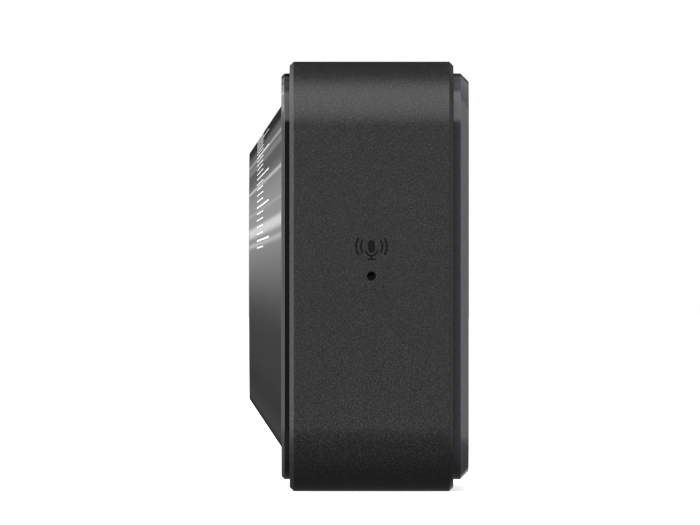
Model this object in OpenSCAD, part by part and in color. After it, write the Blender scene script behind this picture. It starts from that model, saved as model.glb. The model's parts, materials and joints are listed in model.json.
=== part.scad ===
// Action camera: a metal band closed by a gloss front plate and a bevelled rear glass, with a
// conical lens surround, two hinged covers, sprung buttons and its working parts inside.
// Millimetres. +Z is up, the lens looks along -Y, and the microphone is on the +X side.
// The origin is the middle of the footprint, on the surface that the camera stands on.

/* [Body] */
// Width of the band from side to side
body_w = 60; // [60:0.5:64]
// Height of the band
body_h = 42; // [42:0.5:45]
// Depth of the band alone, from its front edge to its rear edge
band_d = 16; // [16:0.25:18]
// Outer radius of the four corners of the band
corner_r = 6.3; // [6.1:0.1:6.6]
// Bevel along both edges of the band
band_bevel = 0.4; // [0.3:0.05:0.5]
// Wall of the band
band_wall = 1.05; // [1:0.05:1.1]

/* [Lens surround] */
// Height of the cone in front of the plate
cone_h = 3.2; // [3.1:0.05:3.4]
// Radius of the cone where it meets the plate
cone_base_r = 16.9; // [16.6:0.05:17]
// Radius of the cone at its nose
cone_nose_r = 12.1; // [11.9:0.05:12.3]
// Distance of the lens axis from the middle, towards the microphone side
lens_x = 8.5; // [8.5:0.1:9]

/* [Front plate] */
// How far the front plate stands in front of the band
plate_proud = 0.8; // [0.7:0.05:1]
// Thickness of the front plate
plate_t = 1.6; // [1.5:0.05:1.7]
// Bevel round the front plate
plate_bevel = 0.3; // [0.2:0.05:0.4]

/* [Rear glass] */
// How far the rear glass stands behind the band
glass_proud = 1.5; // [1.3:0.1:1.8]
// Bevel round the rear glass
glass_bevel = 0.8; // [0.6:0.1:1]

/* [Controls] */
// Place of the shutter button along the top
shutter_x = -15; // [-16:0.5:-14]
// Radius of the shutter button
shutter_r = 4.4; // [4:0.1:4.4]
// Travel of the shutter button
shutter_travel = 0.4; // [0.3:0.05:0.4]
// Radius of the power button
power_r = 3.4; // [3:0.1:3.6]
// Travel of the power button
power_travel = 0.3; // [0.2:0.05:0.3]
// Radius of the microphone hole
mic_hole_r = 0.43; // [0.35:0.01:0.5]

/* [Covers] */
// Length of the opening for the battery cover
battery_opening_l = 19.6; // [19.6:0.1:20]
// Height of the opening for the port cover
port_opening_h = 19.2; // [19.2:0.1:20]
// Radius of the hinge pins
pin_r = 0.35; // [0.3:0.01:0.36]
// Travel of the latch in the battery cover
latch_travel = 1.5; // [1.2:0.1:1.5]

/* [Tripod socket] */
// Radius inside the crests of the quarter-inch thread
socket_r = 2.55; // [2.5:0.01:2.6]
// Depth of the socket from its flange
socket_depth = 6; // [5.5:0.1:6]

/* [Hidden] */
$fn = 64;

// Depth stations, from the nose of the cone to the back of the rear glass
total_d = cone_h + plate_proud + band_d + glass_proud;
y_nose = -total_d / 2;
y_plate = y_nose + cone_h;
y_front = y_plate + plate_proud;
y_rear = y_front + band_d;
y_back = y_rear + glass_proud;
y_mid = (y_front + y_rear) / 2;
seal_t = 0.3;
panel_t = 1;
y_panel = y_plate + plate_t + seal_t;
y_bay = y_panel + panel_t;
y_frame = y_rear - 3.7;
ledge_t = 0.8;
y_ledge = y_frame - ledge_t;
board_t = 0.6;
y_board_back = y_ledge - 0.35;
y_board = y_board_back - board_t;
y_frame_back = y_rear - 1.15;
y_glass = y_frame_back + 0.2;

// Outlines that nest inside the band
side_x = body_w / 2;
z_mid = body_h / 2;
cav_w = body_w - 2 * band_wall;
cav_h = body_h - 2 * band_wall;
cav_r = corner_r - band_wall;
plate_gap = 0.1;
chassis_gap = 0.15;
rim_t = 1.2;
rim_x = cav_w / 2 - chassis_gap;
rim_in_x = rim_x - rim_t;
rim_z = band_wall + chassis_gap;
rim_in_z = rim_z + rim_t;
rim_top = body_h - rim_z;
rim_in_top = rim_top - rim_t;

// Posts that the four frame screws run into, near the corners
post_inset = cav_r - 2.1;
post_x = cav_w / 2 - post_inset;
post_z = cav_h / 2 - post_inset;
post_r = 1.6;

// Covers: each turns on a pin just under the outer surface, at the edge of its opening
skin = 0.05;
knuckle_r = 0.75;
hinge_depth = knuckle_r + skin;
pin_bore = pin_r + 0.01;
knuckle_bore = pin_r + 0.07;
leaf_t = band_wall + 0.1;
lug_l = 1.4;

bat_x1 = lens_x - 9;
bat_x0 = bat_x1 - battery_opening_l;
bat_y0 = y_front + 1.25;
bat_hinge_y = y_ledge;
bat_y1 = bat_hinge_y + 0.85;
bay_x0 = bat_x0 + 1.3;
bay_x1 = bat_x1 - 0.9;
bay_open_y0 = y_bay + 0.05;
bay_open_y1 = y_ledge - 1.05;

port_z0 = z_mid - 6.6;
port_z1 = port_z0 + port_opening_h;
port_hinge_x = -side_x + hinge_depth;
port_hinge_y = y_ledge - 6.65;
port_y0 = port_hinge_y - 0.85;
port_y1 = y_frame + 0.55;
port_in_y0 = port_hinge_y + 1;
port_in_z0 = port_z0 + 0.8;
port_in_z1 = port_z1 - 0.8;

// Battery bay and what stands in it
bay_wall = 1;
bay_top = z_mid + 15.6;
bay_back = y_bay + 6.6;
bay_back_t = 0.4;
battery_w = 17;
battery_t = 6.2;
battery_h = 31;
battery_z = 3.4;
battery_x = bay_x0 + 0.2;
card_w = 11;
card_h = 15;
card_t = 0.7;
card_x = (bay_x0 + bay_x1) / 2;
card_z = battery_z + 0.9;
card_y = y_board - 1.1;

// Lens and sensor
lens_z = z_mid;
barrel_r = 6;
neck_r = cone_base_r - 1.45;
neck_in_r = neck_r - 1.8;
cover_r = cone_nose_r - 0.6;
y_holder = y_board - 2.8;
y_sensor_board = y_holder + 1.2;
sensor_board_t = 0.6;
screw_ear_z = 9;
bezel_screw_r = neck_in_r - 1.17;
bezel_screw_angles = [55, 125, 235, 305];

// Places of the front controls, left of the lens surround
power_x = lens_x - 27;
power_z = z_mid - 9;
light_z = z_mid + 9;

// Buttons: each has room behind it for its travel and a little more
button_room = 0.1;
flange_w = 0.45;
shutter_flange_z = rim_top - 0.45;
shutter_stem_r = 1.7;
shutter_stem_z = rim_in_top - 0.6;
switch_well_z = bay_top + 1.15;
dome_t = 0.3;
power_back = y_panel - dome_t - power_travel - button_room;

// Bores that the screws cut their threads in
post_bore = 0.72;
thread_bore = 0.52;

// Speaker, low on the side away from the microphone, and the screen behind the rear glass
speaker_z = z_mid - 11.8;
screen_w = 46.5;
screen_h = 33;

// Tripod socket stands under the lens axis
socket_z0 = 0.05;
flange_r = 5.2;
flange_t = 1;
insert_r = 4.4;
insert_top = socket_z0 + socket_depth + 0.5;
boss_r = 5.6;

// ---- shapes that repeat ----

// A box between two opposite corners
module block(low, high) {
    translate(low) cube(high - low);
}

// An outline drawn in X and Z, extruded along Y
module along_y(y0, y1) {
    translate([0, y1, 0]) rotate([90, 0, 0]) linear_extrude(height = y1 - y0) children();
}

// An outline drawn in Y and Z, extruded along X
module along_x(x0, x1) {
    translate([x0, 0, 0]) rotate([90, 0, 90]) linear_extrude(height = x1 - x0) children();
}

// An outline drawn in X and Y, extruded along Z
module along_z(z0, z1) {
    translate([0, 0, z0]) linear_extrude(height = z1 - z0) children();
}

module rod_x(y, z, r, x0, x1) {
    translate([x0, y, z]) rotate([0, 90, 0]) cylinder(h = x1 - x0, r = r);
}

module rod_y(x, z, r, y0, y1) {
    translate([x, y1, z]) rotate([90, 0, 0]) cylinder(h = y1 - y0, r = r);
}

module rod_z(x, y, r, z0, z1) {
    translate([x, y, z0]) cylinder(h = z1 - z0, r = r);
}

// A profile in radius and depth, turned about an axis along Y
module turned(x, z) {
    translate([x, 0, z]) rotate([-90, 0, 0]) rotate_extrude() children();
}

// A rectangle between two corners, with round corners
module soft_rect(low, high, r) {
    translate([low[0] + r, low[1]]) square([high[0] - low[0] - 2 * r, high[1] - low[1]]);
    translate([low[0], low[1] + r]) square([high[0] - low[0], high[1] - low[1] - 2 * r]);
    for (u = [low[0] + r, high[0] - r], v = [low[1] + r, high[1] - r])
        translate([u, v]) circle(r);
}

// The outline of the band or of what nests in it, in X and Z
module face_outline(w, h, r) {
    soft_rect([-w / 2, z_mid - h / 2], [w / 2, z_mid + h / 2], r);
}

// One bevelled edge: full outline at y, smaller by c at y + side * c
module bevel_layer(w, h, r, c, y, side) {
    for (u = [-1, 1], v = [-1, 1])
        translate([u * (w / 2 - r), y, z_mid + v * (h / 2 - r)])
            rotate([-90 * side, 0, 0]) cylinder(h = c, r1 = r, r2 = r - c);
    along_x(-w / 2 + r, w / 2 - r) polygon([
        [y, z_mid - h / 2], [y, z_mid + h / 2],
        [y + side * c, z_mid + h / 2 - c], [y + side * c, z_mid - h / 2 + c],
    ]);
    along_z(z_mid - h / 2 + r, z_mid + h / 2 - r) polygon([
        [-w / 2, y], [w / 2, y], [w / 2 - c, y + side * c], [-w / 2 + c, y + side * c],
    ]);
}

// A slab across the body, bevelled at its front edge, its rear edge or both
module bevelled_slab(w, h, r, y0, y1, front_bevel, rear_bevel) {
    along_y(y0 + front_bevel, y1 - rear_bevel) face_outline(w, h, r);
    if (front_bevel > 0) bevel_layer(w, h, r, front_bevel, y0 + front_bevel, -1);
    if (rear_bevel > 0) bevel_layer(w, h, r, rear_bevel, y1 - rear_bevel, 1);
}

// A flat ring with the outline of the face
module face_ring(w, h, r, width, y0, y1) {
    along_y(y0, y1) difference() {
        face_outline(w, h, r);
        face_outline(w - 2 * width, h - 2 * width, r - width);
    }
}

// A pan-head screw along Y with its head at the rear and a cross recess
module screw(x, z, y_head, head_r, head_t, shank_r, shank_l) {
    difference() {
        union() {
            rod_y(x, z, head_r, y_head, y_head + head_t);
            rod_y(x, z, shank_r, y_head - shank_l, y_head + 0.1);
        }
        for (a = [0, 90])
            translate([x, y_head + head_t, z]) rotate([0, a, 0])
                cube([head_r * 1.2, head_t, head_r * 0.28], center = true);
    }
}

// Puts its children at each of the four corner posts
module at_posts() {
    for (u = [-1, 1], v = [-1, 1]) translate([u * post_x, 0, z_mid + v * post_z]) children();
}

// Places of the screws of the lens surround, round the lens axis
function bezel_screw_at(a) = [lens_x + bezel_screw_r * cos(a), lens_z + bezel_screw_r * sin(a)];

// Places of the pillars that carry the main board
board_pillars = [
    [rim_in_x - 5.1, rim_in_z + 5.6],
    [rim_in_x - 1.7, rim_in_top - 6.6],
    [-rim_in_x + 5.3, rim_in_top - 3.1],
];

// ---- housing ----

module speaker_holes(x0, x1) {
    for (i = [-1, 0, 1]) rod_x(y_mid + 2.2 * i, speaker_z, 0.45, x0, x1);
}

module body_band() color("#3b3b3c") difference() {
    union() {
        difference() {
            bevelled_slab(body_w, body_h, corner_r, y_front, y_rear, band_bevel, band_bevel);
            along_y(y_front - 1, y_rear + 1) face_outline(cav_w, cav_h, cav_r);
        }
        face_ring(cav_w + 0.4, cav_h + 0.4, cav_r + 0.2, 1.6, y_ledge, y_frame);
        along_y(y_ledge, y_frame) intersection() {
            face_outline(cav_w + 0.4, cav_h + 0.4, cav_r + 0.2);
            for (u = [-1, 1], v = [-1, 1])
                translate([u * post_x, z_mid + v * post_z]) circle(2.5);
        }
        rod_x(bat_hinge_y, hinge_depth, knuckle_r, bat_x0 - lug_l, bat_x1 + lug_l);
        rod_z(port_hinge_x, port_hinge_y, knuckle_r, port_z0 - lug_l, port_z1 + lug_l);
    }
    at_posts() rod_y(0, 0, 0.85, y_ledge - 1, y_frame + 1);
    block([bat_x0, bat_y0, -1], [bat_x1, bat_y1, rim_in_z + 0.2]);
    block([bat_x1 - 0.5, latch_y0 - 0.15, 0.4],
        [bat_x1 + latch_travel + 0.1, latch_y1 + 0.15, band_wall + 0.3]);
    rod_x(bat_hinge_y, hinge_depth, pin_bore, bat_x0 - lug_l + 0.1, bat_x1 + lug_l - 0.1);
    block([-side_x - 1, port_y0, port_z0], [-rim_in_x + 0.2, port_y1, port_z1]);
    rod_z(port_hinge_x, port_hinge_y, pin_bore, port_z0 - lug_l + 0.1, port_z1 + lug_l - 0.1);
    rod_z(lens_x, 0, flange_r + 0.1, -1, rim_in_z + 0.2);
    rod_z(shutter_x, y_mid, shutter_r + 0.15, body_h - 1.8, body_h + 1);
    block([shutter_x - 6.5, y_ledge - 1, rim_in_top - 0.2],
        [shutter_x + 6.5, y_frame + 1, body_h - band_wall]);
    rod_x(y_mid, z_mid, mic_hole_r, side_x - 2, side_x + 1);
    speaker_holes(-side_x - 1, -side_x + 2);
}

module front_plate() color("#141415") difference() {
    bevelled_slab(cav_w - 2 * plate_gap, cav_h - 2 * plate_gap, cav_r - plate_gap,
        y_plate, y_plate + plate_t, plate_bevel, 0);
    rod_y(lens_x, lens_z, neck_r + 0.15, y_plate - 1, y_panel);
    rod_y(power_x, power_z, power_r + 0.1, y_plate - 1, y_panel);
    rod_y(power_x, power_z, power_r + 0.75, y_plate + 0.6, y_panel);
    rod_y(power_x, light_z, 0.65, y_plate - 1, y_panel);
}

module front_seal() color("#1f1f20") {
    face_ring(cav_w - 0.8, cav_h - 0.8, cav_r - 0.4, 1.5, y_plate + plate_t, y_panel);
    along_y(y_plate + plate_t, y_panel) translate([lens_x, lens_z]) difference() {
        circle(neck_r + 1.3);
        circle(neck_r + 0.4);
    }
}

module chassis_solid() {
    along_y(y_panel, y_bay) face_outline(2 * rim_x, 2 * (z_mid - rim_z), cav_r - chassis_gap);
    face_ring(2 * rim_x, 2 * (z_mid - rim_z), cav_r - chassis_gap, rim_t, y_bay - 0.2, y_ledge);
    at_posts() rod_y(0, 0, post_r, y_bay - 0.2, y_ledge);
    battery_bay_walls();
    shutter_boss();
    tripod_boss();
    for (p = board_pillars) rod_y(p[0], p[1], 1.5, y_bay - 0.2, y_board);
    for (v = [-1, 1]) rod_y(lens_x, lens_z + v * screw_ear_z, 1.4, y_bay - 0.2, y_holder);
}

module battery_bay_walls() {
    low = rim_in_z - 0.2;
    top = bay_top + 0.7;
    for (x = [bay_x0 - bay_wall, bay_x1])
        block([x, y_bay - 0.2, low], [x + bay_wall, bay_back + bay_back_t, top]);
    block([bay_x0 - bay_wall, y_bay - 0.2, bay_top], [bay_x1 + bay_wall, bay_back + bay_back_t, top]);
    block([bay_x0 - bay_wall, bay_back, low], [bay_x1 + bay_wall, bay_back + bay_back_t, top]);
    block([bay_x0 - bay_wall, bay_back, low], [bay_x1 + bay_wall, y_board, rim_in_z + 0.7]);
}

module shutter_boss() {
    intersection() {
        rod_z(shutter_x, y_mid, 5.9, rim_in_top - 0.7, rim_top);
        block([shutter_x - 9, y_panel, rim_in_top - 1], [shutter_x + 9, y_ledge, rim_top]);
    }
}

module tripod_boss() {
    intersection() {
        rod_z(lens_x, 0, boss_r, rim_z, insert_top + 0.7);
        block([lens_x - 9, y_panel, 0], [lens_x + 9, y_ledge, insert_top + 1]);
    }
}

module front_chassis() color("#26282a") difference() {
    chassis_solid();
    rod_y(lens_x, lens_z, 7.5, y_panel - 1, y_bay + 0.1);
    for (a = bezel_screw_angles)
        rod_y(bezel_screw_at(a)[0], bezel_screw_at(a)[1], 0.75, y_panel - 1, y_bay + 0.1);
    at_posts() rod_y(0, 0, post_bore, y_bay + 1, y_ledge + 1);
    for (p = board_pillars) rod_y(p[0], p[1], thread_bore, y_bay + 4, y_board + 1);
    for (v = [-1, 1]) rod_y(lens_x, lens_z + v * screw_ear_z, thread_bore, y_bay + 2, y_holder + 1);
    along_z(rim_z - 1, rim_in_z) soft_rect([bay_x0, bay_open_y0], [bay_x1, bay_open_y1], 1.2);
    block([bay_x0, y_bay + 0.05, rim_in_z - 0.1], [bay_x1, bay_back, bay_top]);
    block([card_x - 5.8, bay_back + bay_back_t + 0.1, rim_z], [card_x + 5.8, y_board - 0.2, rim_in_z + 1]);
    block([bat_x0 - lug_l - 0.1, bat_hinge_y - 0.85, 0], [bat_x1 + lug_l + 0.1, y_ledge + 1, rim_z + 0.5]);
    block([-rim_x - 1, port_in_y0, port_in_z0], [-rim_in_x + 0.1, y_ledge + 1, port_in_z1]);
    block([-rim_x - 1, port_y0, port_z0 - 1], [-rim_x + 0.45, port_hinge_y + 0.85, port_z1 + 1]);
    for (z = [port_z0 - lug_l - 0.1, port_z1 - 0.1])
        block([-rim_x - 1, port_y0, z], [-rim_x + 0.45, y_ledge + 1, z + lug_l + 0.2]);
    rod_z(shutter_x, y_mid, shutter_r + 0.8, shutter_flange_z - shutter_travel - button_room, rim_top + 1);
    rod_z(shutter_x, y_mid, shutter_stem_r + 0.1, rim_in_top - 2, rim_top);
    rod_z(lens_x, 0, insert_r + 0.05, 0, insert_top + 0.05);
    rod_x(y_mid, z_mid, 0.6, rim_in_x - 1, rim_x + 1);
    block([-rim_x - 1, y_mid - 2.85, speaker_z - 0.6], [-rim_in_x + 0.1, y_mid + 2.85, speaker_z + 0.6]);
}

module rear_frame() color("#303234") difference() {
    union() {
        along_y(y_frame, y_frame_back) face_outline(cav_w - 0.4, cav_h - 0.4, cav_r - 0.2);
        block([-rim_x + 0.1, y_ledge + 0.1, port_z0 + 0.2], [-rim_in_x, y_frame + 0.2, port_z1 - 0.2]);
    }
    block([-screen_w / 2 - 0.2, y_frame + 0.5, z_mid - screen_h / 2 - 0.2],
        [screen_w / 2 + 0.2, y_frame_back + 1, z_mid + screen_h / 2 + 0.2]);
    block([-5.5, y_frame - 1, rim_in_z + 3], [5.5, y_frame + 1, rim_in_z + 5.4]);
    at_posts() rod_y(0, 0, 0.85, y_frame - 1, y_frame_back + 1);
    at_posts() rod_y(0, 0, 1.5, y_frame + 1.35, y_frame_back + 1);
    block([shutter_x - 6.5, y_frame - 1, rim_in_top + 0.1], [shutter_x + 6.5, y_frame + 1.05, body_h]);
}

module rear_seal() color("#1f1f20") {
    face_ring(cav_w - 0.7, cav_h - 0.7, cav_r - 0.35, 2.2, y_frame_back, y_glass);
}

module rear_glass() color([0.07, 0.075, 0.08, 0.9]) {
    bevelled_slab(cav_w - 2 * plate_gap, cav_h - 2 * plate_gap, cav_r - plate_gap,
        y_glass, y_back, 0, glass_bevel);
}

module frame_screws() color("#8d8f92") {
    for (u = [-1, 1], v = [-1, 1])
        screw(u * post_x, z_mid + v * post_z, y_frame + 1.35, 1.3, 0.7, 0.7, 6.4);
}

module tripod_insert() color("#a7a39a") difference() {
    union() {
        rod_z(lens_x, 0, flange_r, socket_z0, socket_z0 + flange_t);
        rod_z(lens_x, 0, insert_r, socket_z0 + 0.5, insert_top);
    }
    rod_z(lens_x, 0, socket_r, socket_z0 - 1, socket_z0 + socket_depth);
    translate([lens_x, 0, socket_z0]) cylinder(h = 0.6, r1 = socket_r + 0.6, r2 = socket_r);
}

// ---- lens surround and lens ----

module lens_bezel() color("#3a3a3c") difference() {
    union() {
        turned(lens_x, lens_z) polygon([
            [cone_base_r, y_plate], [cone_nose_r, y_nose], [cover_r, y_nose], [cover_r, y_nose + 1.25],
            [cover_r - 1.2, y_nose + 1.25], [cover_r - 1.2, y_nose + 1.95], [neck_in_r, y_panel - 0.95],
            [neck_in_r, y_panel], [neck_r, y_panel], [neck_r, y_plate],
        ]);
        for (a = bezel_screw_angles)
            rod_y(bezel_screw_at(a)[0], bezel_screw_at(a)[1], 1.5, y_panel - 1.65, y_panel);
    }
    for (a = bezel_screw_angles)
        rod_y(bezel_screw_at(a)[0], bezel_screw_at(a)[1], thread_bore, y_panel - 1.1, y_panel + 1);
    turned(lens_x, lens_z) translate([neck_in_r + 0.5, y_panel - 0.65]) square([0.8, 2]);
}

module lens_seal() color("#18181a") {
    turned(lens_x, lens_z) translate([neck_in_r + 0.9, y_panel - 0.32]) circle(0.3, $fn = 24);
}

module bezel_screws() color("#8d8f92") {
    for (a = bezel_screw_angles)
        screw(bezel_screw_at(a)[0], bezel_screw_at(a)[1], y_bay, 1.2, 0.6, 0.5, 1.9);
}

module lens_cover_glass() color([0.75, 0.8, 0.82, 0.3]) {
    rod_y(lens_x, lens_z, cover_r - 0.05, y_nose + 0.25, y_nose + 1.25);
}

// A light trap: a funnel whose inside steps down to the lens
module lens_baffle() color("#101011") {
    top = y_nose + 1.35;
    steps = 5;
    turned(lens_x, lens_z) difference() {
        polygon([
            [7.1, top], [cover_r - 1.3, top], [cover_r - 1.3, top + 0.8], [8.6, top + 2.5],
            [8.6, y_panel], [7.7, y_panel], [7.7, y_panel - 0.75], [7.1, y_panel - 0.75],
        ]);
        for (i = [0 : steps - 1])
            translate([5, top - 1]) square([4.8 - 0.5 * i, 1.5 + 0.5 * i]);
    }
}

module lens_barrel() color("#1a1a1b") {
    y_tip = y_nose + 2.45;
    turned(lens_x, lens_z) polygon([
        [6.5, y_tip], [7, y_tip + 0.4], [7, y_tip + 2.3], [barrel_r, y_tip + 2.3],
        [barrel_r, y_holder - 1], [4.4, y_holder - 1], [4.4, y_tip + 1.95], [5.45, y_tip + 1.95],
        [5.45, y_tip + 0.6], [5.7, y_tip],
    ]);
}

module lens_front_element() color([0.35, 0.4, 0.5, 0.5]) {
    y_vertex = y_nose + 1.55;
    turned(lens_x, lens_z) difference() {
        intersection() {
            translate([0, y_vertex + 8]) circle(8);
            translate([0, y_vertex]) square([5.4, 2.8]);
        }
        translate([0, y_vertex + 6]) circle(4.6);
    }
}

// Two glass discs in the barrel, each domed towards the front
module lens_inner_elements() color([0.4, 0.45, 0.55, 0.5]) {
    lens_t = 1.5;
    dome_r = 12;
    for (y = [y_holder - 5.3, y_holder - 2.6])
        turned(lens_x, lens_z) intersection() {
            translate([0, y + dome_r]) circle(dome_r);
            translate([0, y]) square([4.35, lens_t]);
        }
}

module lens_holder() color("#202123") difference() {
    union() {
        rod_y(lens_x, lens_z, 7.2, y_bay + 0.15, y_holder + 0.1);
        block([lens_x - 7.5, y_holder, lens_z - 7.5], [lens_x + 7.5, y_sensor_board, lens_z + 7.5]);
        block([lens_x - 1.5, y_holder, lens_z - 10.5], [lens_x + 1.5, y_sensor_board, lens_z + 10.5]);
    }
    rod_y(lens_x, lens_z, barrel_r + 0.05, y_bay - 1, y_holder - 0.7);
    block([lens_x - 3.2, y_holder - 1, lens_z - 3.2], [lens_x + 3.2, y_sensor_board, lens_z + 3.2]);
    block([lens_x - 4.8, y_holder - 0.1, lens_z - 4.8], [lens_x + 4.8, y_sensor_board + 1, lens_z + 4.8]);
    for (v = [-1, 1]) rod_y(lens_x, lens_z + v * screw_ear_z, 0.6, y_holder - 1, y_sensor_board + 1);
}

module lens_screws() color("#8d8f92") {
    for (v = [-1, 1])
        screw(lens_x, lens_z + v * screw_ear_z, y_sensor_board, 1, 0.55, 0.5, 3.5);
}

module ir_filter() color([0.55, 0.8, 0.85, 0.5]) {
    block([lens_x - 4, y_holder - 0.1, lens_z - 4], [lens_x + 4, y_holder + 0.2, lens_z + 4]);
}

module image_sensor() color("#3c4250") {
    block([lens_x - 4, y_sensor_board - 0.9, lens_z - 3.25], [lens_x + 4, y_sensor_board, lens_z + 3.25]);
}

module sensor_board() color("#1c4a34") {
    block([lens_x - 7.3, y_sensor_board, lens_z - 7.3],
        [lens_x + 7.3, y_sensor_board + sensor_board_t, lens_z + 7.3]);
}

// ---- electronics ----

module main_board() color("#1d5138") difference() {
    along_y(y_board, y_board_back) difference() {
        translate([-rim_in_x + 0.3, rim_in_z + 0.3])
            square([2 * rim_in_x - 0.6, rim_in_top - rim_in_z - 1.3]);
        for (u = [-1, 1], v = [-1, 1])
            translate([u * (post_x + 1), z_mid + v * (post_z + 1)]) square(6, center = true);
        translate([lens_x - 4.5, 0]) square([9, insert_top + 1]);
    }
    for (p = board_pillars) rod_y(p[0], p[1], 0.7, y_board - 1, y_board_back + 1);
}

module board_screws() color("#8d8f92") {
    for (p = board_pillars) screw(p[0], p[1], y_board_back, 1, 0.5, 0.5, 3);
}

chip_x0 = lens_x + 8.7;

module processor() color("#232426") {
    block([chip_x0, y_board - 1.2, z_mid - 3], [chip_x0 + 8, y_board, z_mid + 7]);
}

module thermal_pad() color("#7d8aa5") {
    block([chip_x0 + 0.5, y_board - 1.7, z_mid - 2.5], [chip_x0 + 7.5, y_board - 1.2, z_mid + 6.5]);
}

module shield_can() color("#b9bcc0") difference() {
    block([chip_x0 - 0.4, y_board - 1.9, z_mid - 3.6], [chip_x0 + 8.4, y_board, z_mid + 7.6]);
    block([chip_x0 - 0.2, y_board - 1.7, z_mid - 3.4], [chip_x0 + 8.2, y_board + 1, z_mid + 7.4]);
}

module heat_spreader() color("#a9acb0") difference() {
    block([chip_x0 - 0.3, y_board - 2.7, z_mid - 9], [chip_x0 + 8.2, y_board - 1.9, z_mid + 9]);
    for (i = [0 : 3])
        translate([1.9 * i, 0, 0])
            block([chip_x0 + 0.8, y_board - 3, z_mid - 8], [chip_x0 + 1.6, y_board - 2.3, z_mid + 8]);
}

module memory_chips() color("#232426") {
    block([chip_x0, y_board - 1, z_mid + 9.2], [chip_x0 + 6, y_board, z_mid + 15.2]);
    block([-9, y_board_back, z_mid + 4], [2, y_board_back + 1, z_mid + 13]);
    block([12, y_board_back, z_mid - 6], [19, y_board_back + 0.9, z_mid + 1]);
}

module board_components() color("#8b7f68") {
    for (x = [-20 : 2.2 : -11]) block([x, y_board_back, z_mid - 9], [x + 1.2, y_board_back + 0.7, z_mid - 7]);
    for (x = [8 : 2.6 : 16]) block([x, y_board_back, z_mid + 7], [x + 1.6, y_board_back + 0.6, z_mid + 8]);
    for (z = [z_mid - 2 : 2.4 : z_mid + 6]) block([-17, y_board_back, z], [-15.6, y_board_back + 0.8, z + 0.8]);
    block([lens_x - 3.5, y_sensor_board + sensor_board_t, lens_z - 6], [lens_x + 3.5, y_board, lens_z - 4]);
}

// A socket that opens towards -X: a thin shell with a tongue inside
module side_port(x0, depth, y0, y1, z0, z1) {
    wall = 0.3;
    difference() {
        block([x0, y0, z0], [x0 + depth, y1, z1]);
        block([x0 - 1, y0 + wall, z0 + wall], [x0 + depth - 0.6, y1 - wall, z1 - wall]);
    }
    block([x0 + 0.5, (y0 + y1) / 2 - 0.3, z0 + 1.4], [x0 + depth - 0.5, (y0 + y1) / 2 + 0.3, z1 - 1.4]);
}

module usb_port() color("#b4b6b9") {
    side_port(-rim_in_x + 0.8, 5, y_board - 2.6, y_board, z_mid + 3.5, z_mid + 11);
}

module hdmi_port() color("#b4b6b9") {
    side_port(-rim_in_x + 0.8, 6.6, y_board - 3, y_board, z_mid - 5, z_mid + 1.5);
}

module card_socket() color("#b4b6b9") difference() {
    block([card_x - 6.2, card_y - 0.3, card_z + 0.5], [card_x + 6.2, y_board, card_z + card_h + 0.9]);
    block([card_x - card_w / 2 - 0.1, card_y - 0.05, card_z - 1],
        [card_x + card_w / 2 + 0.1, card_y + card_t + 0.05, card_z + card_h + 0.6]);
}

module memory_card() color("#1b1c1e") {
    along_y(card_y, card_y + card_t) polygon([
        [card_x - card_w / 2, card_z], [card_x + card_w / 2, card_z],
        [card_x + card_w / 2, card_z + 8], [card_x + card_w / 2 - 0.9, card_z + 9],
        [card_x + card_w / 2 - 0.9, card_z + card_h], [card_x - card_w / 2, card_z + card_h],
    ]);
}

module battery_pack() color("#2c3e57") {
    along_z(battery_z, battery_z + battery_h)
        soft_rect([battery_x, y_bay + 0.2], [battery_x + battery_w, y_bay + 0.2 + battery_t], 0.8);
}

contact_x = battery_x + battery_w / 2;

module contact_block() color("#1c1c1e") difference() {
    block([contact_x - 4, y_bay + 1.6, bay_top - 1.7], [contact_x + 4, y_bay + 5, bay_top]);
    for (i = [-1, 0, 1]) rod_z(contact_x + 2.4 * i, y_bay + 3.3, 0.42, bay_top - 3, bay_top - 0.4);
}

module battery_contacts() color("#d6b25a") {
    for (i = [-1, 0, 1])
        rod_z(contact_x + 2.4 * i, y_bay + 3.3, 0.4, battery_z + battery_h, bay_top - 0.4);
}

// ---- controls ----

module shutter_button() color("#2a2a2b") difference() {
    union() {
        rod_z(shutter_x, y_mid, shutter_r, rim_top - 0.3, body_h - skin);
        rod_z(shutter_x, y_mid, shutter_r + flange_w, shutter_flange_z, rim_top + 0.05);
        rod_z(shutter_x, y_mid, shutter_stem_r, shutter_stem_z, rim_top);
    }
    difference() {
        rod_z(shutter_x, y_mid, 2.5, rim_in_top - 0.1, rim_in_top + 0.5);
        rod_z(shutter_x, y_mid, 1.35, rim_in_top - 0.1, rim_in_top + 0.5);
    }
}

module shutter_seal() color("#18181a") difference() {
    rod_z(shutter_x, y_mid, 1.78, rim_in_top - 0.1, rim_in_top + 0.5);
    rod_z(shutter_x, y_mid, 1.35, rim_in_top - 1, rim_in_top + 1);
}

module shutter_plunger() color("#c9c9c4") {
    rod_z(shutter_x, y_mid, 0.9, switch_well_z + shutter_travel + 0.05, shutter_stem_z);
}

module shutter_switch() color("#3a3b3d") difference() {
    union() {
        block([shutter_x - 3.5, y_mid - 2.6, bay_top + 0.7], [shutter_x + 3.5, y_board - 0.4, bay_top + 1.1]);
        block([shutter_x - 2, y_mid - 2, bay_top + 1], [shutter_x + 2, y_mid + 2, bay_top + 1.9]);
    }
    rod_z(shutter_x, y_mid, 1, switch_well_z, bay_top + 3);
}

module power_button() color("#2a2a2b") {
    rod_y(power_x, power_z, power_r, y_plate - 0.1, y_plate + 0.8);
    rod_y(power_x, power_z, power_r + 0.6, y_plate + 0.65, power_back);
}

module power_switch() color("#c9a35c") {
    rod_y(power_x, power_z, 2, y_panel - dome_t, y_panel);
}

module status_light() color([0.5, 0.75, 0.6, 0.7]) {
    rod_y(power_x, light_z, 0.6, y_plate + 0.03, y_panel - 0.2);
    rod_y(power_x, light_z, 1, y_panel - 0.3, y_panel);
}

// ---- sound and radio ----

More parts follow.
